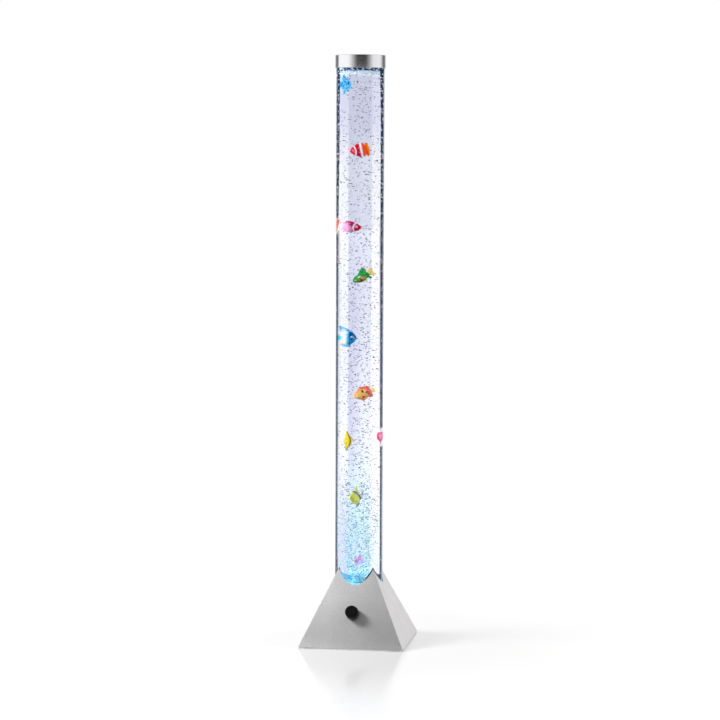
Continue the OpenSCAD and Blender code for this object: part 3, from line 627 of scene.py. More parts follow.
def water_material(tint, density):
    """Clear water that takes up a little of the light on its way."""
    material, n, shader = new_material("water")
    n.fill(shader, {"Base Color": (1, 1, 1, 1), "Roughness": 0.0, "IOR": 1.333,
                    "Specular Tint": (0, 0, 0, 1), "Transmission Weight": 1.0})
    volume = n.tree.nodes.new("ShaderNodeVolumeAbsorption")
    n.fill(volume, {"Color": rgba(tint), "Density": density})
    output = n.tree.nodes["Material Output"]
    n.tree.links.new(volume.outputs[0], output.inputs["Volume"])
    return material


class LAMP_OT_tube(bpy.types.Operator):
    """Clear tube wall with softened ends."""
    bl_idname = "lamp.tube"
    bl_label = "Tube"

    def execute(self, context):
        edge = 0.5 * MM
        steps = 12
        low, high = TUBE_LOW.z, TUBE_HIGH.z
        levels = [low + (high - low) * i / steps for i in range(1, steps)]
        profile = [(TUBE_IN_R, low), (TUBE_R - edge, low), (TUBE_R, low + edge)]
        profile += [(TUBE_R, z) for z in levels]
        profile += [(TUBE_R, high - edge), (TUBE_R - edge, high), (TUBE_IN_R, high)]
        profile += [(TUBE_IN_R, z) for z in reversed(levels)]
        vertices, faces = spun(profile, 256, closed=True)
        tube = piece_from("tube_wall", vertices, faces, clear_tube_material())
        tube.visible_shadow = False
        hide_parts("tube")
        return {"FINISHED"}


class LAMP_OT_water(bpy.types.Operator):
    """The column of water, with a rippled surface."""
    bl_idname = "lamp.water"
    bl_label = "Water"

    def execute(self, context):
        s = context.scene.lamp_water
        overlap = 0.1 * MM
        radius = TUBE_IN_R + overlap
        low = DISC_HIGH.z - overlap
        segments, rings, levels = 192, 14, 10
        profile = [(0, low), (radius, low)]
        profile += [(radius, low + (s.surface - low) * i / levels) for i in range(1, levels + 1)]
        profile += [(radius * i / rings, s.surface) for i in range(rings - 1, -1, -1)]
        vertices, faces = spun(profile, segments)
        for v in vertices:
            if v.z > s.surface - 0.1 * MM:
                ripple = noise.noise(Vector((v.x * 55, v.y * 55, 0.3)))
                ripple += 0.6 * noise.noise(Vector((v.x * 130, v.y * 130, 4.1)))
                v.z += s.wave * ripple
        water = piece_from("water_column", vertices, faces, water_material(s.tint, s.depth), sharp=60)
        water.visible_shadow = False
        self.painted_waterline_shade(s)
        return {"FINISHED"}

    def painted_waterline_shade(self, s):
        """A dark ring where the water meets the wall: painted shade and reflection under the cap, broken
        by pale patches, with a little painted glow.
        """
        material, n, shader = new_material("painted_waterline_shade")
        patches = n.smooth(n.noise((1, 1, 1.6), 170), 0.52, 0.60)
        blue = n.mix(n.noise((1, 1, 1), 420), (0.004, 0.010, 0.05, 1), (0.02, 0.06, 0.20, 1))
        line = n.mix(patches, blue, (0.55, 0.72, 0.86, 1))
        with_painted_glow(n, shader, line, 0.1)
        low, high = s.surface - 2.4 * MM, s.surface + 3.4 * MM
        radius = TUBE_IN_R - 0.5 * MM
        inner = radius - 0.3 * MM
        profile = [(inner, low), (radius, low), (radius, high), (inner, high)]
        vertices, faces = spun(profile, 192, closed=True)
        for v in vertices:
            wave = 1.4 * noise.noise(Vector((v.x * 110, v.y * 110, 2.0)))
            wave += 1.8 * noise.noise(Vector((v.x * 300, v.y * 300, 5.0)))
            v.z += wave * MM
        piece_from("painted_waterline_shade", vertices, faces, material, sharp=60)


class LAMP_OT_tube_floor(bpy.types.Operator):
    """Clear floor of the tube, with the light of the ring of lamps below painted into its colour and
    glow: a blue ring with scattered bright spots in it, paler towards +x.
    """
    bl_idname = "lamp.tube_floor"
    bl_label = "Tube floor"

    def execute(self, context):
        s = context.scene.lamp_glow
        material, n, shader = new_material("lit_floor")
        x, _, _ = n.axes()
        radius = n.length(n.place((1, 1, 0)))
        # Painted light: the ring, its bright spots and the paler side stand in for the lamps shining up through
        # the floor.
        ring = n.times(n.smooth(radius, 22 * MM, 27 * MM), n.smooth(radius, 42 * MM, 38 * MM))
        cells = n.cells(n.place((95, 95, 95)))
        spots = n.times(n.smooth(cells, 0.34, 0.22), ring)
        side = n.smooth(x, -4 * MM, 26 * MM)
        deep = n.mix(ring, (0.30, 0.72, 0.88, 1), rgba([c * 0.75 for c in s.colour]))
        deep = n.mix(side, deep, (0.66, 0.86, 0.92, 1))
        outer_ring = n.smooth(radius, 42 * MM, 44 * MM)
        lit = n.layers(deep, (spots, (0.88, 0.96, 1, 1)), (outer_ring, (0.55, 0.86, 0.92, 1)))
        with_painted_glow(n, shader, lit, s.strength * 0.15, 0.25, 0.2)
        edge = 0.4 * MM
        outer = TUBE_IN_R - 0.05 * MM
        inner = 5 * MM
        profile = [(inner, DISC_LOW.z), (outer - edge, DISC_LOW.z), (outer, DISC_LOW.z + edge),
                   (outer, DISC_HIGH.z - edge), (outer - edge, DISC_HIGH.z), (inner, DISC_HIGH.z)]
        vertices, faces = spun(profile, 128, closed=True)
        disc = piece_from("floor_disc", vertices, faces, material)
        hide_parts("tube_floor")
        return {"FINISHED"}


# ---------------------------------------------------------------- bubbles

def bubble_material(rim_tone, glow, reach):
    """A pearl of air with a painted dark rim where it is seen along its surface, painted shade for how a
    bubble bends the light. Most are pale, more so beside the wall, the others dark, and those near the
    bottom of the tube are painted lit blue, as light from the lamps below, with a little painted glow."""
    material, n, shader = new_material("air_bubble")
    # Painted shade: the rim darkens where the bubble is seen along its surface.
    rim = n.smooth(n.facing(), 0.20, 0.60)
    tone = n.add("ShaderNodeAttribute", attribute_name="tone", out=2)
    x, _, z = n.axes()
    middle = n.smooth(x, 0.016, -0.004)
    dark = n.mix(middle, (0.045, 0.04, 0.045, 1), (0.02, 0.07, 0.26, 1))
    dark = n.mix(n.smooth(z, 0.66, 0.48), (0.004, 0.008, 0.03, 1), dark)
    clear = n.smooth(n.size(x), 0.017, 0.026, 0.0, 0.34)
    pale = n.mix(n.smooth(n.plus(tone, clear), 0.50, 0.62), dark, (0.92, 0.94, 1, 1))
    air = n.mix(n.times(rim, n.smooth(tone, 1.0, 0.7)), pale, rgba(rim_tone))
    # Painted light: bubbles low down take the blue of the lamps below.
    low = n.smooth(z, DISC_HIGH.z + reach, DISC_HIGH.z + reach * 0.25)
    lit = n.mix(n.smooth(n.plus(tone, clear), 0.30, 0.60), rgba([c * 0.8 for c in glow]),
                (0.78, 0.95, 0.97, 1))
    share = n.smooth(n.maths("FRACT", n.times(tone, 7.3)), 0.95, 0.7)
    colour = n.mix(n.times(low, share), air, lit)
    with_painted_glow(n, shader, colour, 0.06)
    return material


def bubble_tree(lanes):
    """Geometry Nodes that scatter small spheres in a column, outside the lanes kept for the fish."""
    tree = bpy.data.node_groups.new("rising_bubbles", "GeometryNodeTree")
    face = tree.interface
    wanted = {"Count": "Int", "Column Radius": "Float", "Lower Radius": "Float", "Bottom": "Float",
              "Top": "Float", "Smallest": "Float", "Largest": "Float", "Crowding": "Float",
              "Seed": "Int", "Bubble Material": "Material"}
    sockets = {name: face.new_socket(name, in_out="INPUT", socket_type="NodeSocket" + kind).identifier
               for name, kind in wanted.items()}
    face.new_socket("Geometry", in_out="OUTPUT", socket_type="NodeSocketGeometry")
    n = Nodes(tree)
    given = tree.nodes.new("NodeGroupInput").outputs

    def random(low, high, salt):
        seed = n.plus(given["Seed"], salt)
        node = tree.nodes.new("FunctionNodeRandomValue")
        n.fill(node, {2: low, 3: high, 8: seed})
        return node.outputs[1]

    index = n.add("GeometryNodeInputIndex")

    def evenly_spread(step, salt):
        """A share from 0 to 1 for each bubble, evenly spread but for a little scatter."""
        return n.maths("FRACT", n.maths("MULTIPLY_ADD", index, step, random(0.0, 0.03, salt)))

    angle = n.times(evenly_spread(0.8191725, 2), math.tau)
    rise = n.maths("POWER", evenly_spread(0.5497005, 3), given["Crowding"])
    widen = n.minus(given["Column Radius"], given["Lower Radius"])
    width = n.plus(given["Lower Radius"], n.times(widen, n.maths("SQRT", rise)))
    spread = n.times(width, n.maths("SQRT", evenly_spread(0.6710436, 1)))
    height = n.plus(given["Bottom"],
                     n.times(rise, n.minus(given["Top"], given["Bottom"])))
    at = n.add("ShaderNodeCombineXYZ", {0: n.times(spread, n.maths("COSINE", angle)),
                                        1: n.times(spread, n.maths("SINE", angle)),
                                        2: height})
    cloud = n.add("GeometryNodePoints", {"Count": given["Count"], "Position": at})
    place = n.add("GeometryNodeInputPosition")
    for low, high in lanes:
        centre = (low + high) / 2
        half = (high - low) / 2
        away = n.vector("ABSOLUTE", n.vector("SUBTRACT", place, centre))
        across, along, up = n.split(n.vector("SUBTRACT", away, half))
        furthest = n.larger(n.larger(across, along), up)
        inside = n.add("FunctionNodeCompare", {0: furthest, 1: 0.0}, operation="LESS_THAN")
        cloud = n.add("GeometryNodeDeleteGeometry", {0: cloud, "Selection": inside}, domain="POINT")
    cloud = n.add("GeometryNodeStoreNamedAttribute",
                  {0: cloud, "Name": "tone", "Value": random(0.0, 1.0, 4)},
                  data_type="FLOAT", domain="POINT")
    ball = n.add("GeometryNodeMeshUVSphere", {"Segments": 6, "Rings": 4, "Radius": 1.0})
    girth = random(given["Smallest"], given["Largest"], 5)
    shape = n.add("ShaderNodeCombineXYZ", {0: n.times(girth, random(1.0, 1.7, 6)),
                                           1: girth, 2: n.times(girth, 0.75)})
    turn = n.add("ShaderNodeCombineXYZ", {0: random(-0.4, 0.4, 7), 1: random(-0.6, 0.6, 8),
                                          2: random(0.0, math.tau, 9)})
    pearls = n.add("GeometryNodeInstanceOnPoints", {"Points": cloud, "Instance": ball,
                                                    "Rotation": turn, "Scale": shape})
    pearls = n.add("GeometryNodeRealizeInstances", {0: pearls})
    pearls = n.add("GeometryNodeSetShadeSmooth", {0: pearls})
    pearls = n.add("GeometryNodeSetMaterial", {0: pearls, "Material": given["Bubble Material"]})
    out = tree.nodes.new("NodeGroupOutput")
    tree.links.new(pearls, out.inputs[0])
    return tree, sockets


def grown(name, tree, sockets, values):
    """Runs a Geometry Nodes tree once and keeps its result as a plain mesh piece on the root."""
    holder = bpy.data.objects.new(name + "_maker", bpy.data.meshes.new(name + "_maker"))
    bpy.context.scene.collection.objects.link(holder)
    modifier = holder.modifiers.new("Nodes", "NODES")
    modifier.node_group = tree
    for label, value in values.items():
        modifier[sockets[label]] = value
    ready = holder.evaluated_get(bpy.context.evaluated_depsgraph_get())
    mesh = bpy.data.meshes.new_from_object(ready)
    holder.modifiers.remove(modifier)
    bpy.data.objects.remove(holder)
    if not mesh.polygons:
        raise RuntimeError(name + " came out empty")
    mesh.name = name
    obj = bpy.data.objects.new(name, mesh)
    bpy.context.scene.collection.objects.link(obj)
    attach(obj, "root")
    return obj


def fish_lanes():
    """The boxes that the fish keep free as they drift, and the one round the air stone."""
    reach = {j["child"]: j["range_m"] for j in frame["joints"] if j["child"] in FISH_PLACES}
    margin = Vector((1.2, 1.2, 1.2)) * MM
    lanes = []
    for name in FISH_PLACES:
        low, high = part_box(name)
        drift = reach[name]
        lanes.append((low - margin + Vector((0, 0, drift[0])), high + margin + Vector((0, 0, drift[1]))))
    below = Vector((0, 0, 20 * MM))
    lanes.append((STONE_LOW - margin - below, STONE_HIGH + margin))
    return lanes


class LAMP_OT_bubbles(bpy.types.Operator):
    """Air bubbles rising through the whole column, and the froth under the cap."""
    bl_idname = "lamp.bubbles"
    bl_label = "Bubbles"

    def execute(self, context):
        s = context.scene.lamp_bubbles
        glow = context.scene.lamp_glow
        surface = context.scene.lamp_water.surface
        material = bubble_material(s.tone, glow.colour, glow.height)
        tree, sockets = bubble_tree(fish_lanes())
        clear = 1.5 * MM
        plume_height = 190 * MM
        froth_depth = 11 * MM
        wide = TUBE_IN_R - clear
        rising = {"Count": s.count, "Column Radius": wide, "Lower Radius": wide,
                  "Bottom": DISC_HIGH.z + clear, "Top": surface - 4 * MM, "Smallest": s.smallest,
                  "Largest": s.largest, "Crowding": s.crowding, "Seed": s.seed,
                  "Bubble Material": material}
        grown("rising_bubbles", tree, sockets, rising)
        plume = dict(rising)
        plume.update({"Count": s.plume, "Lower Radius": STONE_R, "Bottom": STONE_HIGH.z + clear,
                      "Top": STONE_HIGH.z + plume_height, "Crowding": 1.4, "Seed": s.seed + 40})
        grown("plume_bubbles", tree, sockets, plume)
        froth_material, n, shader = new_material("froth")
        tone = n.add("ShaderNodeAttribute", attribute_name="tone", out=2)
        foam = n.mix(n.smooth(tone, 0.1, 0.6), (0.36, 0.62, 0.78, 1), (0.88, 0.97, 1, 1))
        # Painted glow: the froth glows a little in its pale blue colour.
        with_painted_glow(n, shader, foam, 0.3)
        froth = dict(rising)
        froth.update({"Count": 520, "Bottom": surface - froth_depth, "Top": surface - 3 * MM,
                      "Crowding": 0.8, "Largest": 1.5 * MM, "Seed": s.seed + 20,
                      "Bubble Material": froth_material})
        grown("froth_bubbles", tree, sockets, froth)
        return {"FINISHED"}


# ---------------------------------------------------------------- fish

FISH_UNIT = 50 * MM


class FishPaint:
    """Paints one fish on its own UV map, where x runs from tail to nose and z from belly to back, in
    mm from the middle. Masks are laid over a base colour one after another."""

    def __init__(self, name):
        self.material, self.n, self.shader = new_material(name)
        self.eye_place = FISH_SHAPES[name][3]
        uv = self.n.add("ShaderNodeUVMap", uv_map="UVMap")
        u, v, _ = self.n.split(uv)
        self.x = self.n.maths("MULTIPLY_ADD", u, FISH_UNIT / MM, -FISH_UNIT / MM / 2)
        self.z = self.n.maths("MULTIPLY_ADD", v, FISH_UNIT / MM, -FISH_UNIT / MM / 2)
        self.colour = None

    def base(self, colour):
        self.colour = self.n.mix(0.0, rgba(colour), rgba(colour))
        return self

    def lay(self, mask, colour):
        self.colour = self.n.mix(mask, self.colour, rgba(colour))
        return self

    def along(self, low, high):
        """0 to 1 as x goes from low to high."""
        return self.n.smooth(self.x, low, high)

    def above(self, low, high):
        return self.n.smooth(self.z, low, high)

    def band(self, x, half, bend=0.0, soft=0.5):
        """An upright band at x, bowed by bend times the square of the height."""
        n = self.n
        bowed = n.times(n.times(self.z, self.z), bend)
        off = n.size(n.minus(n.minus(self.x, x), bowed))
        return n.smooth(off, half + soft, half - soft)

    def spot(self, x, z, rx, rz=None, soft=0.25):
        n = self.n
        dx = n.maths("DIVIDE", n.minus(self.x, x), rx)
        dz = n.maths("DIVIDE", n.minus(self.z, z), rz or rx)
        away = n.maths("SQRT", n.plus(n.times(dx, dx), n.times(dz, dz)))
        return n.smooth(away, 1 + soft, 1 - soft)

    def spots(self, scale, size):
        """Scattered round spots."""
        n = self.n
        at = n.add("ShaderNodeCombineXYZ", {0: self.x, 1: self.z, 2: 0.0})
        cells = n.cells(at, scale, 0.55)
        return n.smooth(cells, size + 0.06, size - 0.06)

    def both(self, a, b):
        return self.n.times(a, b)

    def eye(self, place=None):
        """An eye where its dome stands, or at a place given as (x, z, radius)."""
        x, z, r = place or self.eye_place
        self.lay(self.spot(x, z, r, soft=0.15), (0.92, 0.92, 0.86))
        return self.lay(self.spot(x, z, r * 0.55, soft=0.2), (0.005, 0.005, 0.01))

    def done(self, glow=0.34):
        """Finishes the paint, with a painted glow in the fish's own colour that stands in for the light
        from the lamps below.
        """
        n = self.n
        at = n.add("ShaderNodeCombineXYZ", {0: self.x, 1: self.z, 2: 0.0})
        scales = n.cells(at, 0.9, 0.3, feature="SMOOTH_F1")
        with_painted_glow(n, self.shader, self.colour, glow, 0.35, 0.08)
        n.fill(self.shader, {"Normal": n.bump(scales, 0.12 * MM, 0.35)})
        return self.material


WHITE = (0.82, 0.83, 0.90)
BLACK = (0.008, 0.008, 0.015)


def paint_spotted_blue(p):
    p.base((0.008, 0.50, 0.88))
    p.lay(p.above(5, -9), (0.06, 0.62, 0.96))
    p.lay(p.spots(0.28, 0.32), (0.70, 0.90, 0.96))
    p.lay(p.spots(0.40, 0.20), (0.01, 0.13, 0.48))
    p.lay(p.spot(3.5, 3.0, 1.6, 3.2), (0.03, 0.06, 0.34))
    p.lay(p.above(13, 20), (0.14, 0.58, 0.86))
    p.lay(p.along(-9, -13), (0.05, 0.55, 0.92))
    return p.eye().done(0.5)


def paint_red_banded(p):
    p.base((0.60, 0.004, 0.015))
    p.lay(p.along(-4.0, -5.0), (0.95, 0.10, 0.005))
    p.lay(p.along(-11.5, -14.5), (0.98, 0.30, 0.01))
    p.lay(p.band(5.6, 0.9, 0.022), WHITE)
    p.lay(p.band(-2.9, 1.8, 0.0), WHITE)
    return p.eye().done(0.5)


def paint_pink_banded(p):
    p.base((0.62, 0.006, 0.02))
    p.lay(p.along(3.6, 2.6), (0.48, 0.01, 0.12))
    # Painted highlight: a pink wash over the crimson where the tube's bright band crosses the fish.
    painted_highlight_wash = p.n.smooth(p.n.plus(p.x, p.n.times(p.z, 0.9)), 4.0, -6.0)
    p.lay(p.both(painted_highlight_wash, p.along(2.6, 1.6)), (0.90, 0.36, 0.56))
    p.lay(p.along(-11.5, -12.5), WHITE)
    p.lay(p.along(-15.8, -16.6), (0.86, 0.10, 0.02))
    p.lay(p.band(3.2, 1.2, 0.035), WHITE)
    return p.eye().done()


def paint_green(p):
    p.base((0.006, 0.28, 0.03))
    p.lay(p.spot(2, -1.5, 10, 3.8, 0.4), (0.14, 0.34, 0.03))
    p.lay(p.spot(0, -3.0, 7, 2.4, 0.4), (0.34, 0.42, 0.04))
    p.lay(p.spot(2.4, 2.6, 4.6, 2.0, 0.2), (0.26, 0.05, 0.02))
    p.lay(p.spot(2.6, 2.8, 3.2, 1.1, 0.2), (0.78, 0.76, 0.72))
    p.lay(p.spot(2.8, -3.6, 2.4, 1.7, 0.2), (0.26, 0.012, 0.012))
    p.lay(p.spot(-4.5, -1.0, 2.2, 1.2), (0.34, 0.10, 0.03))
    p.lay(p.both(p.above(-4.4, -6.6), p.along(-3, 2)), (0.10, 0.012, 0.012))
    p.lay(p.both(p.above(4, 9), p.along(8, 2)), (0.004, 0.34, 0.06))
    p.lay(p.along(-13.0, -14.5), (0.80, 0.60, 0.18))
    p.lay(p.both(p.above(-7.2, -8.4), p.along(-7, -5.5)), (0.80, 0.64, 0.22))
    anal_fin = p.both(p.both(p.above(-3.5, -5.5), p.along(-6.5, -7.5)), p.along(-15.5, -14))
    p.lay(anal_fin, (0.006, 0.26, 0.03))
    return p.eye().done()


def paint_blue_angel(p):
    p.base((0.004, 0.26, 0.62))
    p.lay(p.spot(5, 6, 4, 6, 0.6), (0.002, 0.09, 0.30))
    p.lay(p.spot(6, -6, 5, 5, 0.6), (0.004, 0.34, 0.72))
    p.lay(p.along(1.2, 0.2), (0.10, 0.50, 0.84))
    p.lay(p.along(-1.0, -3.6), (0.50, 0.76, 0.92))
    # Painted highlight: the white band stands where the tube's bright band crosses the fish.
    p.lay(p.band(-7.5, 2.4, 0.004), (0.82, 0.86, 0.92))
    p.lay(p.spot(-4.2, 4.5, 1.3, 4.2, 0.25), (0.86, 0.74, 0.12))
    p.lay(p.spot(-3.6, -9.5, 1.4, 3.0, 0.25), (0.84, 0.74, 0.16))
    p.lay(p.above(16, 19), (0.20, 0.58, 0.88))
    p.lay(p.above(-12, -16), (0.16, 0.56, 0.88))
    p.lay(p.along(-10.5, -12), (0.03, 0.54, 0.90))
    p.lay(p.spot(5.6, -1.2, 1.5, 3.2, 0.2), (0.004, 0.006, 0.03))
    return p.eye().done()


def paint_orange(p):
    p.base((0.80, 0.42, 0.08))
    p.lay(p.spot(2, -1, 8, 5, 0.6), (0.84, 0.54, 0.14))
    p.lay(p.above(6.5, 10.0), (0.84, 0.20, 0.08))
    p.lay(p.along(-6.0, -9.5), (0.86, 0.17, 0.14))
    p.lay(p.above(-8, -10.5), (0.86, 0.26, 0.14))
    p.lay(p.spot(0.5, -5.6, 2.8, 1.6, 0.2), (0.74, 0.012, 0.05))
    p.lay(p.spot(-2.6, 5.4, 1.3, 3.3, 0.2), (0.02, 0.01, 0.01))
    p.lay(p.spot(-7.6, 0.6, 2.6, 0.9, 0.2), (0.05, 0.04, 0.10))
    p.lay(p.spot(-8.4, -3.2, 2.4, 0.9, 0.2), (0.08, 0.05, 0.08))
    p.lay(p.both(p.along(-14.4, -16.0), p.above(9, 7)), (0.87, 0.74, 0.24))
    return p.eye().done()


def paint_yellow_striped(p):
    p.base((0.91, 0.72, 0.02))
    p.lay(p.along(-9.5, -11.5), (0.90, 0.78, 0.24))
    p.lay(p.above(-11, -15), (0.51, 0.61, 0.08))
    p.lay(p.band(1.4, 1.7, -0.006, 0.3), (0.0, 0.05, 0.09))
    p.lay(p.along(11.6, 12.4), (0.02, 0.02, 0.02))
    return p.eye((8.8, 5, 1.3)).done(0.6)


def paint_magenta(p):
    p.base((0.62, 0.005, 0.09))
    p.lay(p.above(7.5, 9.5), (0.86, 0.62, 0.76))
    p.lay(p.along(-7, -10), (0.80, 0.22, 0.44))
    p.lay(p.above(13, 15), (0.02, 0.10, 0.42))
    return p.eye().done(0.18)


def paint_yellow_blue(p):
    p.base((0.86, 0.72, 0.05))
    p.lay(p.spots(0.36, 0.24), (0.34, 0.44, 0.42))
    lower = p.n.plus(p.z, 8.0)
    bowed = p.n.times(p.n.times(lower, lower), 0.040)
    off = p.n.minus(p.n.minus(p.x, bowed), -9.0)
    p.lay(p.n.smooth(off, 3.0, 2.2), (0.003, 0.11, 0.48))
    p.lay(p.n.smooth(off, -2.0, -2.8), (0.80, 0.84, 0.86))
    p.lay(p.n.smooth(off, -4.0, -4.6), (0.03, 0.04, 0.06))
    p.lay(p.n.smooth(off, -5.4, -6.0), (0.84, 0.74, 0.10))
    p.lay(p.above(12.5, 14.0), (0.87, 0.76, 0.08))
    return p.eye().done()


def paint_pink_violet(p):
    p.base((0.56, 0.36, 0.68))
    p.lay(p.along(1.5, -4), (0.86, 0.28, 0.50))
    p.lay(p.spots(0.4, 0.26), (0.88, 0.62, 0.78))
    return p.eye().done(0.5)


# Body length, height and thickness in mm, the eye's x, z and radius, each fin's outline, and the paint
FISH_SHAPES = {
    "fish_spotted_blue": (26, 28, 9, (8.5, 2.5, 1.6), [
        [(-9, 4), (-16, 9), (-18, 6), (-16.5, 0), (-18, -6), (-16, -9), (-9, -4)],
        [(3, 12), (0, 17), (-1.5, 24.5), (-4, 24), (-4.5, 17), (-7, 10)],
        [(3, -12), (1, -18), (-1, -21), (-4, -20), (-7, -9)]], paint_spotted_blue),
    "fish_red_banded": (30, 24, 9, (9.8, 1.2, 1.3), [
        [(-8, 7), (-12, 15), (-15, 11), (-16, 0), (-14.5, -12), (-11, -15), (-8, -7)],
        [(7, 8), (3, 13), (-2, 14.5), (-8, 14.5), (-10, 6)],
        [(5, -9), (1, -13.5), (-7, -14), (-10, -6)]], paint_red_banded),
    "fish_pink_banded": (30, 20, 9, (7.6, 0.6, 1.6), [
        [(-8, 5), (-13, 8), (-17, 14), (-20, 13), (-20.5, 0), (-20, -12), (-17, -14), (-13, -8), (-8, -5)],
        [(6, 7), (2, 11), (-7, 12), (-10, 5)],
        [(4, -7), (0, -10.5), (-7, -11), (-10, -9.5), (-7, -5)]], paint_pink_banded),
    "fish_green": (33, 17, 9, (11, 0.4, 1.3), [
        [(-12, 3), (-22, 9), (-26, 7), (-22, 0), (-24, -8), (-21, -8.5), (-12, -3)],
        [(4, 7), (-4, 12), (-11, 16), (-15, 14), (-15.5, 8), (-10, 3)],
        [(3, -7), (-1, -12), (-4, -11), (-5, -6)],
        [(-7, -4), (-11, -11), (-14.5, -9), (-10, -3)]], paint_green),
    "fish_blue_angel": (28, 28, 9, (6.8, 2.0, 1.9), [
        [(-11, 3), (-17, 6), (-18, 0), (-17, -6), (-11, -3)],
        [(7, 9), (0, 18.5), (-9, 23), (-17, 25.5), (-14, 18), (-9, 7)],
        [(6, -10), (3, -19.5), (-3, -19), (-10, -17), (-9, -6)]], paint_blue_angel),
    "fish_orange": (30, 22, 9, (9.6, -0.6, 1.4), [
        [(-12, 4), (-20, 6), (-22, 1), (-21, -5), (-12, -4)],
        [(8, 7), (2, 12), (-4, 14.5), (-12, 14), (-16, 11), (-15, 5), (-12, 2)],
        [(7, -7), (5, -13.5), (1, -12.5), (-2, -9)],
        [(-4, -8), (-9, -12), (-14, -11), (-14.5, -5), (-11, -2)]], paint_orange),
    "fish_yellow_striped": (28, 27, 9, (8.8, 2, 1.5), [
        [(-10, 4), (-15, 6), (-18, 8), (-17, 0), (-18, -8), (-15, -6), (-10, -4)],
        [(4, 10), (-1, 21.5), (-6, 19), (-9, 7)],
        [(3, -11), (-2, -21.5), (-7, -18), (-9, -7)]], paint_yellow_striped),
    "fish_magenta": (26, 22, 9, (7.5, 2, 1.5), [
        [(-9, 3), (-16, 8), (-17, 0), (-16, -8), (-9, -3)],
        [(4, 9), (0, 19), (-5, 17), (-8, 6)],
        [(3, -9), (-1, -18), (-6, -15), (-8, -6)]], paint_magenta),
    "fish_yellow_blue": (28, 28, 9, (6.4, 1.0, 1.9), [
        [(-10, 4), (-15, 6), (-14.5, 0), (-15, -6), (-10, -4)],
        [(2, 12), (0, 18), (-1, 23.5), (-3.5, 23), (-3.5, 17), (-7, 10)],
        [(3, -12), (-2, -21), (-7, -18), (-9, -8)]], paint_yellow_blue),
    "fish_pink_violet": (20, 16, 9, (5.8, 1.2, 1.1), [
        [(-6, 3), (-12, 8), (-13, 0), (-12, -7), (-6, -3)],
        [(4, 5), (1, 15), (-3, 14), (-7, 4)],
        [(3, -5), (0, -13), (-5, -11), (-7, -3)]], paint_pink_violet),
}


def body_half(height, thickness, t):
    """Half height and half thickness of a fish body, t from 0 at the nose to 1 at the tail."""
    oval = math.sin(math.pi * t ** 0.92) ** 0.78
    half_h = height / 2 * max(oval, 0.20 * t ** 3)
    half_t = thickness / 2 * (math.sin(math.pi * t ** 0.72) ** 0.8 + 0.10 * t ** 2)
    return half_h, min(half_t, thickness / 2 - 0.1)


def body_skin(length, height, thickness, stations=26, around=20):
    """A fish body from nose to tail root: a pointed oval seen from the side, full in the middle."""
    vertices = [(length / 2, 0, 0)]
    for i in range(1, stations):
        t = i / stations
        half_h, half_t = body_half(height, thickness, t)
        for j in range(around):
            a = math.tau * j / around
            y = half_t * math.copysign(abs(math.sin(a)) ** 1.15, math.sin(a))
            vertices.append((length * (0.5 - t), y, half_h * math.cos(a)))
    vertices.append((-length / 2, 0, 0))
    rings = [list(range(start, start + around)) for start in range(1, len(vertices) - 1, around)]
    return vertices, skin_over([[0]] + rings + [[len(vertices) - 1]])


def evenly(points, steps):
    """Points at equal steps along a line of straight runs, its corners softened once."""
    points = [Vector(p) for p in points]
    runs = [(b - a).length for a, b in zip(points, points[1:])]
    total = sum(runs)
    found = []
    for i in range(steps + 1):
        left = total * i / steps
        k = 0
        while k < len(runs) - 1 and left > runs[k]:
            left -= runs[k]
            k += 1
        found.append(points[k].lerp(points[k + 1], min(left / max(runs[k], 1e-9), 1)))
    soft = [(a + 2 * b + c) / 4 for a, b, c in zip(found, found[1:], found[2:])]
    return [found[0]] + soft + [found[-1]]


def fin_skin(outline, rays=9, rows=5, thick=1.8):
    """A thin fin inside its outline, whose first and last points lie on its root. It is ribbed along
    its rays and thin at the tip."""
    vertices, faces = [], []
    steps = rays * 2
    root = evenly([outline[0], outline[-1]], steps)
    tip = evenly(outline[1:-1], steps)
    for side in (1, -1):
        for row in range(rows + 1):
            v = row / rows
            for i in range(steps + 1):
                scallop = 1 - 0.045 * (i % 2)
                p = root[i].lerp(tip[i], v * scallop)
                rib = 1.0 if i % 2 == 0 else 0.6
                rim = math.sin(math.pi * min(max(i / steps, 0.04), 0.96)) ** 0.4
                y = side * thick / 2 * (1 - 0.65 * v) * rib * rim
                vertices.append((p.x, y, p.y))
    width = steps + 1
    sheet = (rows + 1) * width
    for row in range(rows):
        for i in range(steps):
            a = row * width + i
            faces.append((a, a + 1, a + 1 + width, a + width))
            b = a + sheet
            faces.append((b, b + width, b + 1 + width, b + 1))
    rim = [(row * width, (row + 1) * width) for row in range(rows)]
    rim += [(rows * width + i, rows * width + i + 1) for i in range(steps)]
    rim += [((row + 1) * width + steps, row * width + steps) for row in range(rows - 1, -1, -1)]
    rim += [(i + 1, i) for i in range(steps - 1, -1, -1)]
    for a, b in rim:
        faces.append((a, a + sheet, b + sheet, b))
    return vertices, faces


def eye_dome(length, height, thickness, eye, side):
    """A low round dome on the side of the head."""
    x, z, r = eye
    half_h, half_t = body_half(height, thickness, 0.5 - x / length)
    level = half_t * max(1 - (z / half_h) ** 2, 0) ** 0.575
    vertices, faces = spun([(r * math.cos(a), 0.45 * r * math.sin(a))
                            for a in (math.radians(v) for v in (-10, 15, 40, 65))] + [(0, 0.45 * r)], 12)
    turn = Matrix.Translation((x, side * (level - 0.15), z)) @ Matrix.Rotation(-side * math.pi / 2, 4, "X")
    return moved(vertices, turn), faces


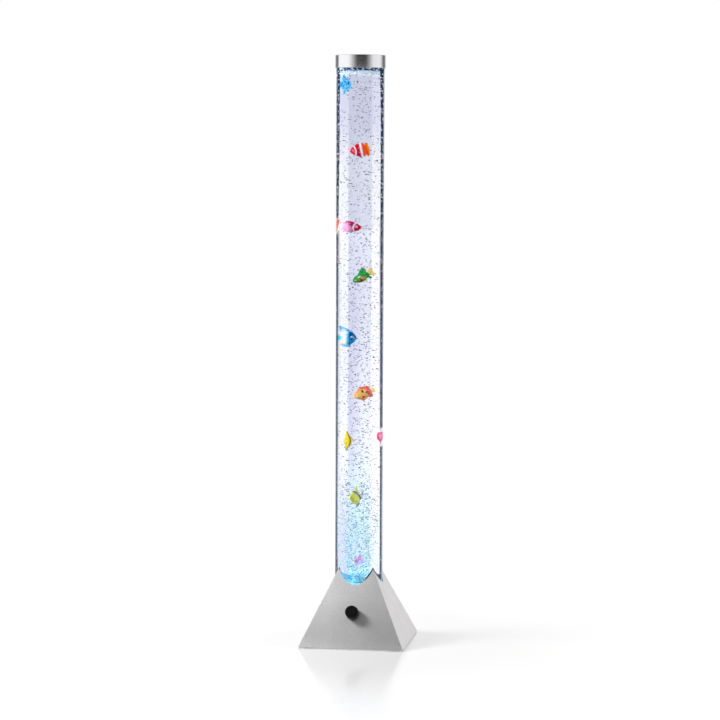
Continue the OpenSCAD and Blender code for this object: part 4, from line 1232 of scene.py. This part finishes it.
def make_fish(name):
    length, height, thickness, eye, fins, paint = FISH_SHAPES[name]
    place, turn, dip = FISH_PLACES[name]
    vertices, faces = body_skin(length, height, thickness)
    parts = [fin_skin(outline) for outline in fins]
    reach = length * 0.16
    for side in (1, -1):
        side_fin = [(reach, -1), (reach - 4, 0.5), (reach - 8, -1), (reach - 8.5, -4), (reach - 5.5, -6.5),
                    (reach - 1, -4)]
        more, skins = fin_skin(side_fin, rays=5, rows=3, thick=0.8)
        lifted = [(x, y + side * (thickness * 0.40 + (reach - x) * 0.06), z) for x, y, z in more]
        parts.append((lifted, skins))
        parts.append(eye_dome(length, height, thickness, eye, side))
    for more, skins in parts:
        faces += [tuple(i + len(vertices) for i in f) for f in skins]
        vertices += [tuple(v) for v in more]
    mesh = bpy.data.meshes.new(name + "_form")
    mesh.from_pydata(vertices, [], faces)
    work = bmesh.new()
    work.from_mesh(mesh)
    bmesh.ops.recalc_face_normals(work, faces=work.faces)
    work.to_mesh(mesh)
    work.free()
    uv = mesh.uv_layers.new(name="UVMap")
    unit = FISH_UNIT / MM
    for loop in mesh.loops:
        co = mesh.vertices[loop.vertex_index].co
        uv.data[loop.index].uv = (co.x / unit + 0.5, co.z / unit + 0.5)
    swim = Matrix.Translation(Vector(place) * MM) @ Matrix.Rotation(math.radians(turn), 4, "Z")
    swim = swim @ Matrix.Rotation(math.radians(dip), 4, "Y") @ Matrix.Scale(MM, 4)
    mesh.transform(swim)
    fish = finish_piece(name + "_form", mesh, paint(FishPaint(name)), name, sharp=50)
    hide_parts(name)


class LAMP_OT_fish(bpy.types.Operator):
    """The ten plastic fish, each riding on its own body."""
    bl_idname = "lamp.fish"
    bl_label = "Fish"

    def execute(self, context):
        for name in FISH_SHAPES:
            make_fish(name)
        return {"FINISHED"}


# ---------------------------------------------------------------- cap

class LAMP_OT_cap(bpy.types.Operator):
    """Satin metal cap with a softly rounded rim."""
    bl_idname = "lamp.cap"
    bl_label = "Cap"

    def execute(self, context):
        material, n, shader = new_material("cap_steel")
        rings = n.noise((30, 30, 1800), 1.0, 3.0)
        face_on = n.mix(rings, (0.92, 0.92, 0.94, 1), (0.98, 0.98, 1.00, 1))
        # Painted shade: the cap's colour darkens where it is seen along its surface, at its edges.
        n.fill(shader, {
            "Base Color": n.mix(n.smooth(n.facing(), 0.40, 0.66), face_on, (0.66, 0.68, 0.74, 1)),
            "Metallic": 1.0,
            "Roughness": n.smooth(rings, 0.3, 0.7, 0.17, 0.23),
            "Normal": n.bump(rings, 0.003 * MM, 0.4),
        })
        wall = 1.2 * MM
        top = 1.5 * MM
        edge = 1.0 * MM
        lip = 0.3 * MM
        low, high = CAP_LOW.z, CAP_HIGH.z
        profile = [(0, high - top), (CAP_R - wall, high - top), (CAP_R - wall, low + lip)]
        profile += [(CAP_R - wall + lip, low), (CAP_R - lip, low), (CAP_R, low + lip)]
        profile += arc(CAP_R - edge, high - edge, edge, 0, 90, 6)
        profile += [(CAP_R * 0.6, high), (0, high)]
        vertices, faces = spun(profile, 192)
        cap = piece_from("cap_top", vertices, faces, material, "cap", 40)
        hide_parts("cap_shell")
        return {"FINISHED"}


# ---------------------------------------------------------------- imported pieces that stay

SLOT_FINISHES = {
    "brushed_foot": ((0.60, 0.60, 0.61), 0.34, 1.0, 1.0),
    "zinc_steel": ((0.52, 0.54, 0.56), 0.38, 1.0, 1.0),
    "foot_rubber": ((0.018, 0.018, 0.018), 0.85, 0.6, 0.0),
    "black_moulding": ((0.02, 0.02, 0.022), 0.5, 1.0, 0.0),
    "white_moulding": ((0.72, 0.73, 0.72), 0.4, 1.0, 0.0),
    "air_stone": ((0.34, 0.62, 0.74), 0.9, 1.6, 0.0),
    "led_emitter": ((0.90, 0.86, 0.60), 0.3, 1.0, 0.0),
    "board": ((0.01, 0.12, 0.05), 0.45, 1.0, 0.0),
    "board_part": ((0.03, 0.03, 0.035), 0.4, 1.0, 0.0),
    "lead": ((0.20, 0.02, 0.02), 0.5, 1.0, 0.0),
    "pump_case": ((0.03, 0.035, 0.045), 0.5, 1.0, 0.0),
    "iron": ((0.16, 0.16, 0.17), 0.55, 1.0, 1.0),
    "copper": ((0.72, 0.32, 0.12), 0.35, 2.0, 1.0),
    "brass": ((0.70, 0.50, 0.18), 0.3, 1.0, 1.0),
    "silicone": ((0.72, 0.78, 0.80), 0.35, 1.0, 0.0),
    "valve_blue": ((0.04, 0.25, 0.50), 0.25, 1.0, 0.0),
}


class LAMP_OT_inner_parts(bpy.types.Operator):
    """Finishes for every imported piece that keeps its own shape."""
    bl_idname = "lamp.inner_parts"
    bl_label = "Inner parts"

    def execute(self, context):
        made = {}
        for name, obj in frame["nodes"].items():
            if obj.hide_render:
                continue
            kind = NODE_SLOTS[name]
            if kind not in made:
                colour, roughness, grain, metallic = SLOT_FINISHES[kind]
                made[kind] = plain_finish("finish_" + kind, colour, roughness, grain, metallic)
            obj.data.materials.clear()
            obj.data.materials.append(made[kind])
        return {"FINISHED"}


# ---------------------------------------------------------------- stage

def camera_view(s):
    """The camera's matrix from its azimuth, distance, height, dip and roll."""
    a = s.camera_azimuth
    place = Vector((s.camera_distance * math.sin(a), -s.camera_distance * math.cos(a), s.camera_height))
    level = Matrix.Rotation(a, 4, "Z") @ Matrix.Rotation(math.pi / 2 - s.camera_dip, 4, "X")
    return Matrix.Translation(place) @ level @ Matrix.Rotation(s.camera_roll, 4, "Z")


def area_lamp(name, place, aim, size, power, colour=(1, 1, 1)):
    data = bpy.data.lights.new(name, "AREA")
    data.shape = "RECTANGLE"
    data.size, data.size_y = size
    data.energy = power
    data.color = colour
    lamp = bpy.data.objects.new(name, data)
    lamp.visible_transmission = False
    lamp.visible_glossy = False
    bpy.context.scene.collection.objects.link(lamp)
    lamp.location = place
    lamp.rotation_euler = (Vector(aim) - Vector(place)).to_track_quat("-Z", "Y").to_euler()
    return lamp


def studio_world(s):
    """Even light for the object, white for the camera and through glass, and a studio for what the
    metal mirrors: dark in front, with two narrow dark strips behind."""
    world = bpy.data.worlds.new("studio")
    bpy.context.scene.world = world
    world.use_nodes = True
    n = Nodes(world.node_tree)
    n.tree.nodes.clear()
    way = n.add("ShaderNodeTexCoord", out=0)
    x, y, z = n.split(way)
    azimuth = n.times(n.maths("ARCTAN2", x, n.times(y, -1.0)), 180 / math.pi)
    level_view = n.ramp(azimuth, [(-180, 0.95), (-142, 0.95), (-134, 0.15), (-116, 0.15), (-104, 1.0),
                                  (-46, 1.0), (-24, 0.42), (-8, 0.05), (34, 0.035), (52, 0.36),
                                  (66, 0.78), (105, 0.88), (113, 0.80), (123, 0.45), (135, 0.15),
                                  (150, 0.15), (159, 0.9), (180, 0.95)])
    high_view = n.ramp(azimuth, [(-180, 0.9), (-70, 0.50), (-13, 0.17), (50, 0.16), (110, 0.6),
                                 (180, 0.9)])
    mirrored = n.mix(n.smooth(z, 0.30, 0.55), level_view, high_view)
    path = n.tree.nodes.new("ShaderNodeLightPath").outputs
    level = n.mix(path["Is Glossy Ray"], rgba([s.ambient] * 3), mirrored)
    level = n.mix(path["Is Transmission Ray"], level, (1, 1, 1, 1))
    bounced = n.maths("GREATER_THAN", path["Diffuse Depth"], 0.5)
    level = n.mix(bounced, level, rgba([s.ambient] * 3))
    level = n.mix(path["Is Camera Ray"], level, (1, 1, 1, 1))
    background = n.add("ShaderNodeBackground", {"Color": level, "Strength": 1.0})
    n.add("ShaderNodeOutputWorld", {"Surface": background})


class LAMP_OT_stage(bpy.types.Operator):
    """Pale floor, soft lamps, white surroundings and the camera."""
    bl_idname = "lamp.stage"
    bl_label = "Stage"

    def execute(self, context):
        s = context.scene.lamp_stage
        material, n, shader = new_material("pale_floor")
        path = n.tree.nodes.new("ShaderNodeLightPath").outputs
        seen = n.larger(path["Is Camera Ray"],
                       n.larger(path["Is Glossy Ray"], path["Is Transmission Ray"]))
        away = n.length(n.place())
        lift = n.ramp(away, [(0.0, 0.35), (0.3, 0.37), (0.5, 0.44), (1.0, 0.62), (2.0, 0.80), (3.2, 0.76),
                             (5.0, 0.67), (8.0, 0.59), (13.0, 0.51), (26.0, 0.40)])
        polish = n.ramp(away, [(0.0, 0.08), (0.17, 0.08), (0.32, 0.12), (0.5, 0.20), (0.8, 0.45),
                               (3.0, 0.20), (30.0, 0.10)])
        n.fill(shader, {"Base Color": rgba(s.floor), "Roughness": polish, "Specular IOR Level": 0.5,
                        "Emission Color": (1, 1, 1, 1),
                        "Emission Strength": n.times(seen, lift)})
        reach = 30.0
        corners = [(-reach, -reach, 0), (reach, -reach, 0), (reach, reach, 0), (-reach, reach, 0)]
        mesh = bpy.data.meshes.new("floor")
        mesh.from_pydata(corners, [], [(0, 1, 2, 3)])
        mesh.materials.append(material)
        floor = bpy.data.objects.new("floor", mesh)
        context.scene.collection.objects.link(floor)
        studio_world(s)
        area_lamp("key", (-1.54, -0.60, 1.48), (0, 0, 0.1), (0.7, 0.7), s.key)
        area_lamp("fill", (2.5, 0.55, 1.3), (0, 0, 0.4), (0.9, 1.6), s.key * 0.70, (1, 0.945, 0.935))
        glow = area_lamp("floor_glow", (0, 0, 0.140), (0, 0, 1.0), (0.05, 0.05), 0.03, (0.25, 0.8, 1.0))
        glow.visible_camera = False
        data = bpy.data.cameras.new("camera")
        data.sensor_width = 36
        data.lens = s.camera_lens
        data.shift_x = 0.0007
        data.clip_end = 60
        camera = bpy.data.objects.new("camera", data)
        context.scene.collection.objects.link(camera)
        camera.matrix_world = camera_view(s)
        context.scene.camera = camera
        context.scene.view_settings.view_transform = "Standard"
        return {"FINISHED"}


# ---------------------------------------------------------------- panel and registration

OPERATORS = (LAMP_OT_foot, LAMP_OT_knob, LAMP_OT_tube, LAMP_OT_tube_floor, LAMP_OT_water, LAMP_OT_bubbles,
             LAMP_OT_fish, LAMP_OT_cap, LAMP_OT_inner_parts, LAMP_OT_stage)
SETTINGS = {"lamp_foot": FootSettings, "lamp_water": WaterSettings, "lamp_bubbles": BubbleSettings,
            "lamp_glow": GlowSettings, "lamp_stage": StageSettings}


class LAMP_PT_panel(bpy.types.Panel):
    """Lists every setting and operator of the lamp."""
    bl_label = "Bubble Tube Lamp"
    bl_space_type = "VIEW_3D"
    bl_region_type = "UI"
    bl_category = "Bubble Lamp"

    def draw(self, context):
        for name, group in SETTINGS.items():
            box = self.layout.box()
            for prop in group.__annotations__:
                box.prop(getattr(context.scene, name), prop)
        for operator in OPERATORS:
            self.layout.operator(operator.bl_idname)


def register():
    for group in SETTINGS.values():
        bpy.utils.register_class(group)
    for name, group in SETTINGS.items():
        setattr(bpy.types.Scene, name, PointerProperty(type=group))
    for operator in OPERATORS:
        bpy.utils.register_class(operator)
    bpy.utils.register_class(LAMP_PT_panel)


def unregister():
    bpy.utils.unregister_class(LAMP_PT_panel)
    for operator in reversed(OPERATORS):
        bpy.utils.unregister_class(operator)
    for name, group in SETTINGS.items():
        delattr(bpy.types.Scene, name)
        bpy.utils.unregister_class(group)


def main():
    register()
    bpy.ops.lamp.stage()
    bpy.ops.lamp.foot()
    bpy.ops.lamp.knob()
    bpy.ops.lamp.tube()
    bpy.ops.lamp.tube_floor()
    bpy.ops.lamp.water()
    bpy.ops.lamp.bubbles()
    bpy.ops.lamp.fish()
    bpy.ops.lamp.cap()
    bpy.ops.lamp.inner_parts()


if __name__ == "__main__":
    main()
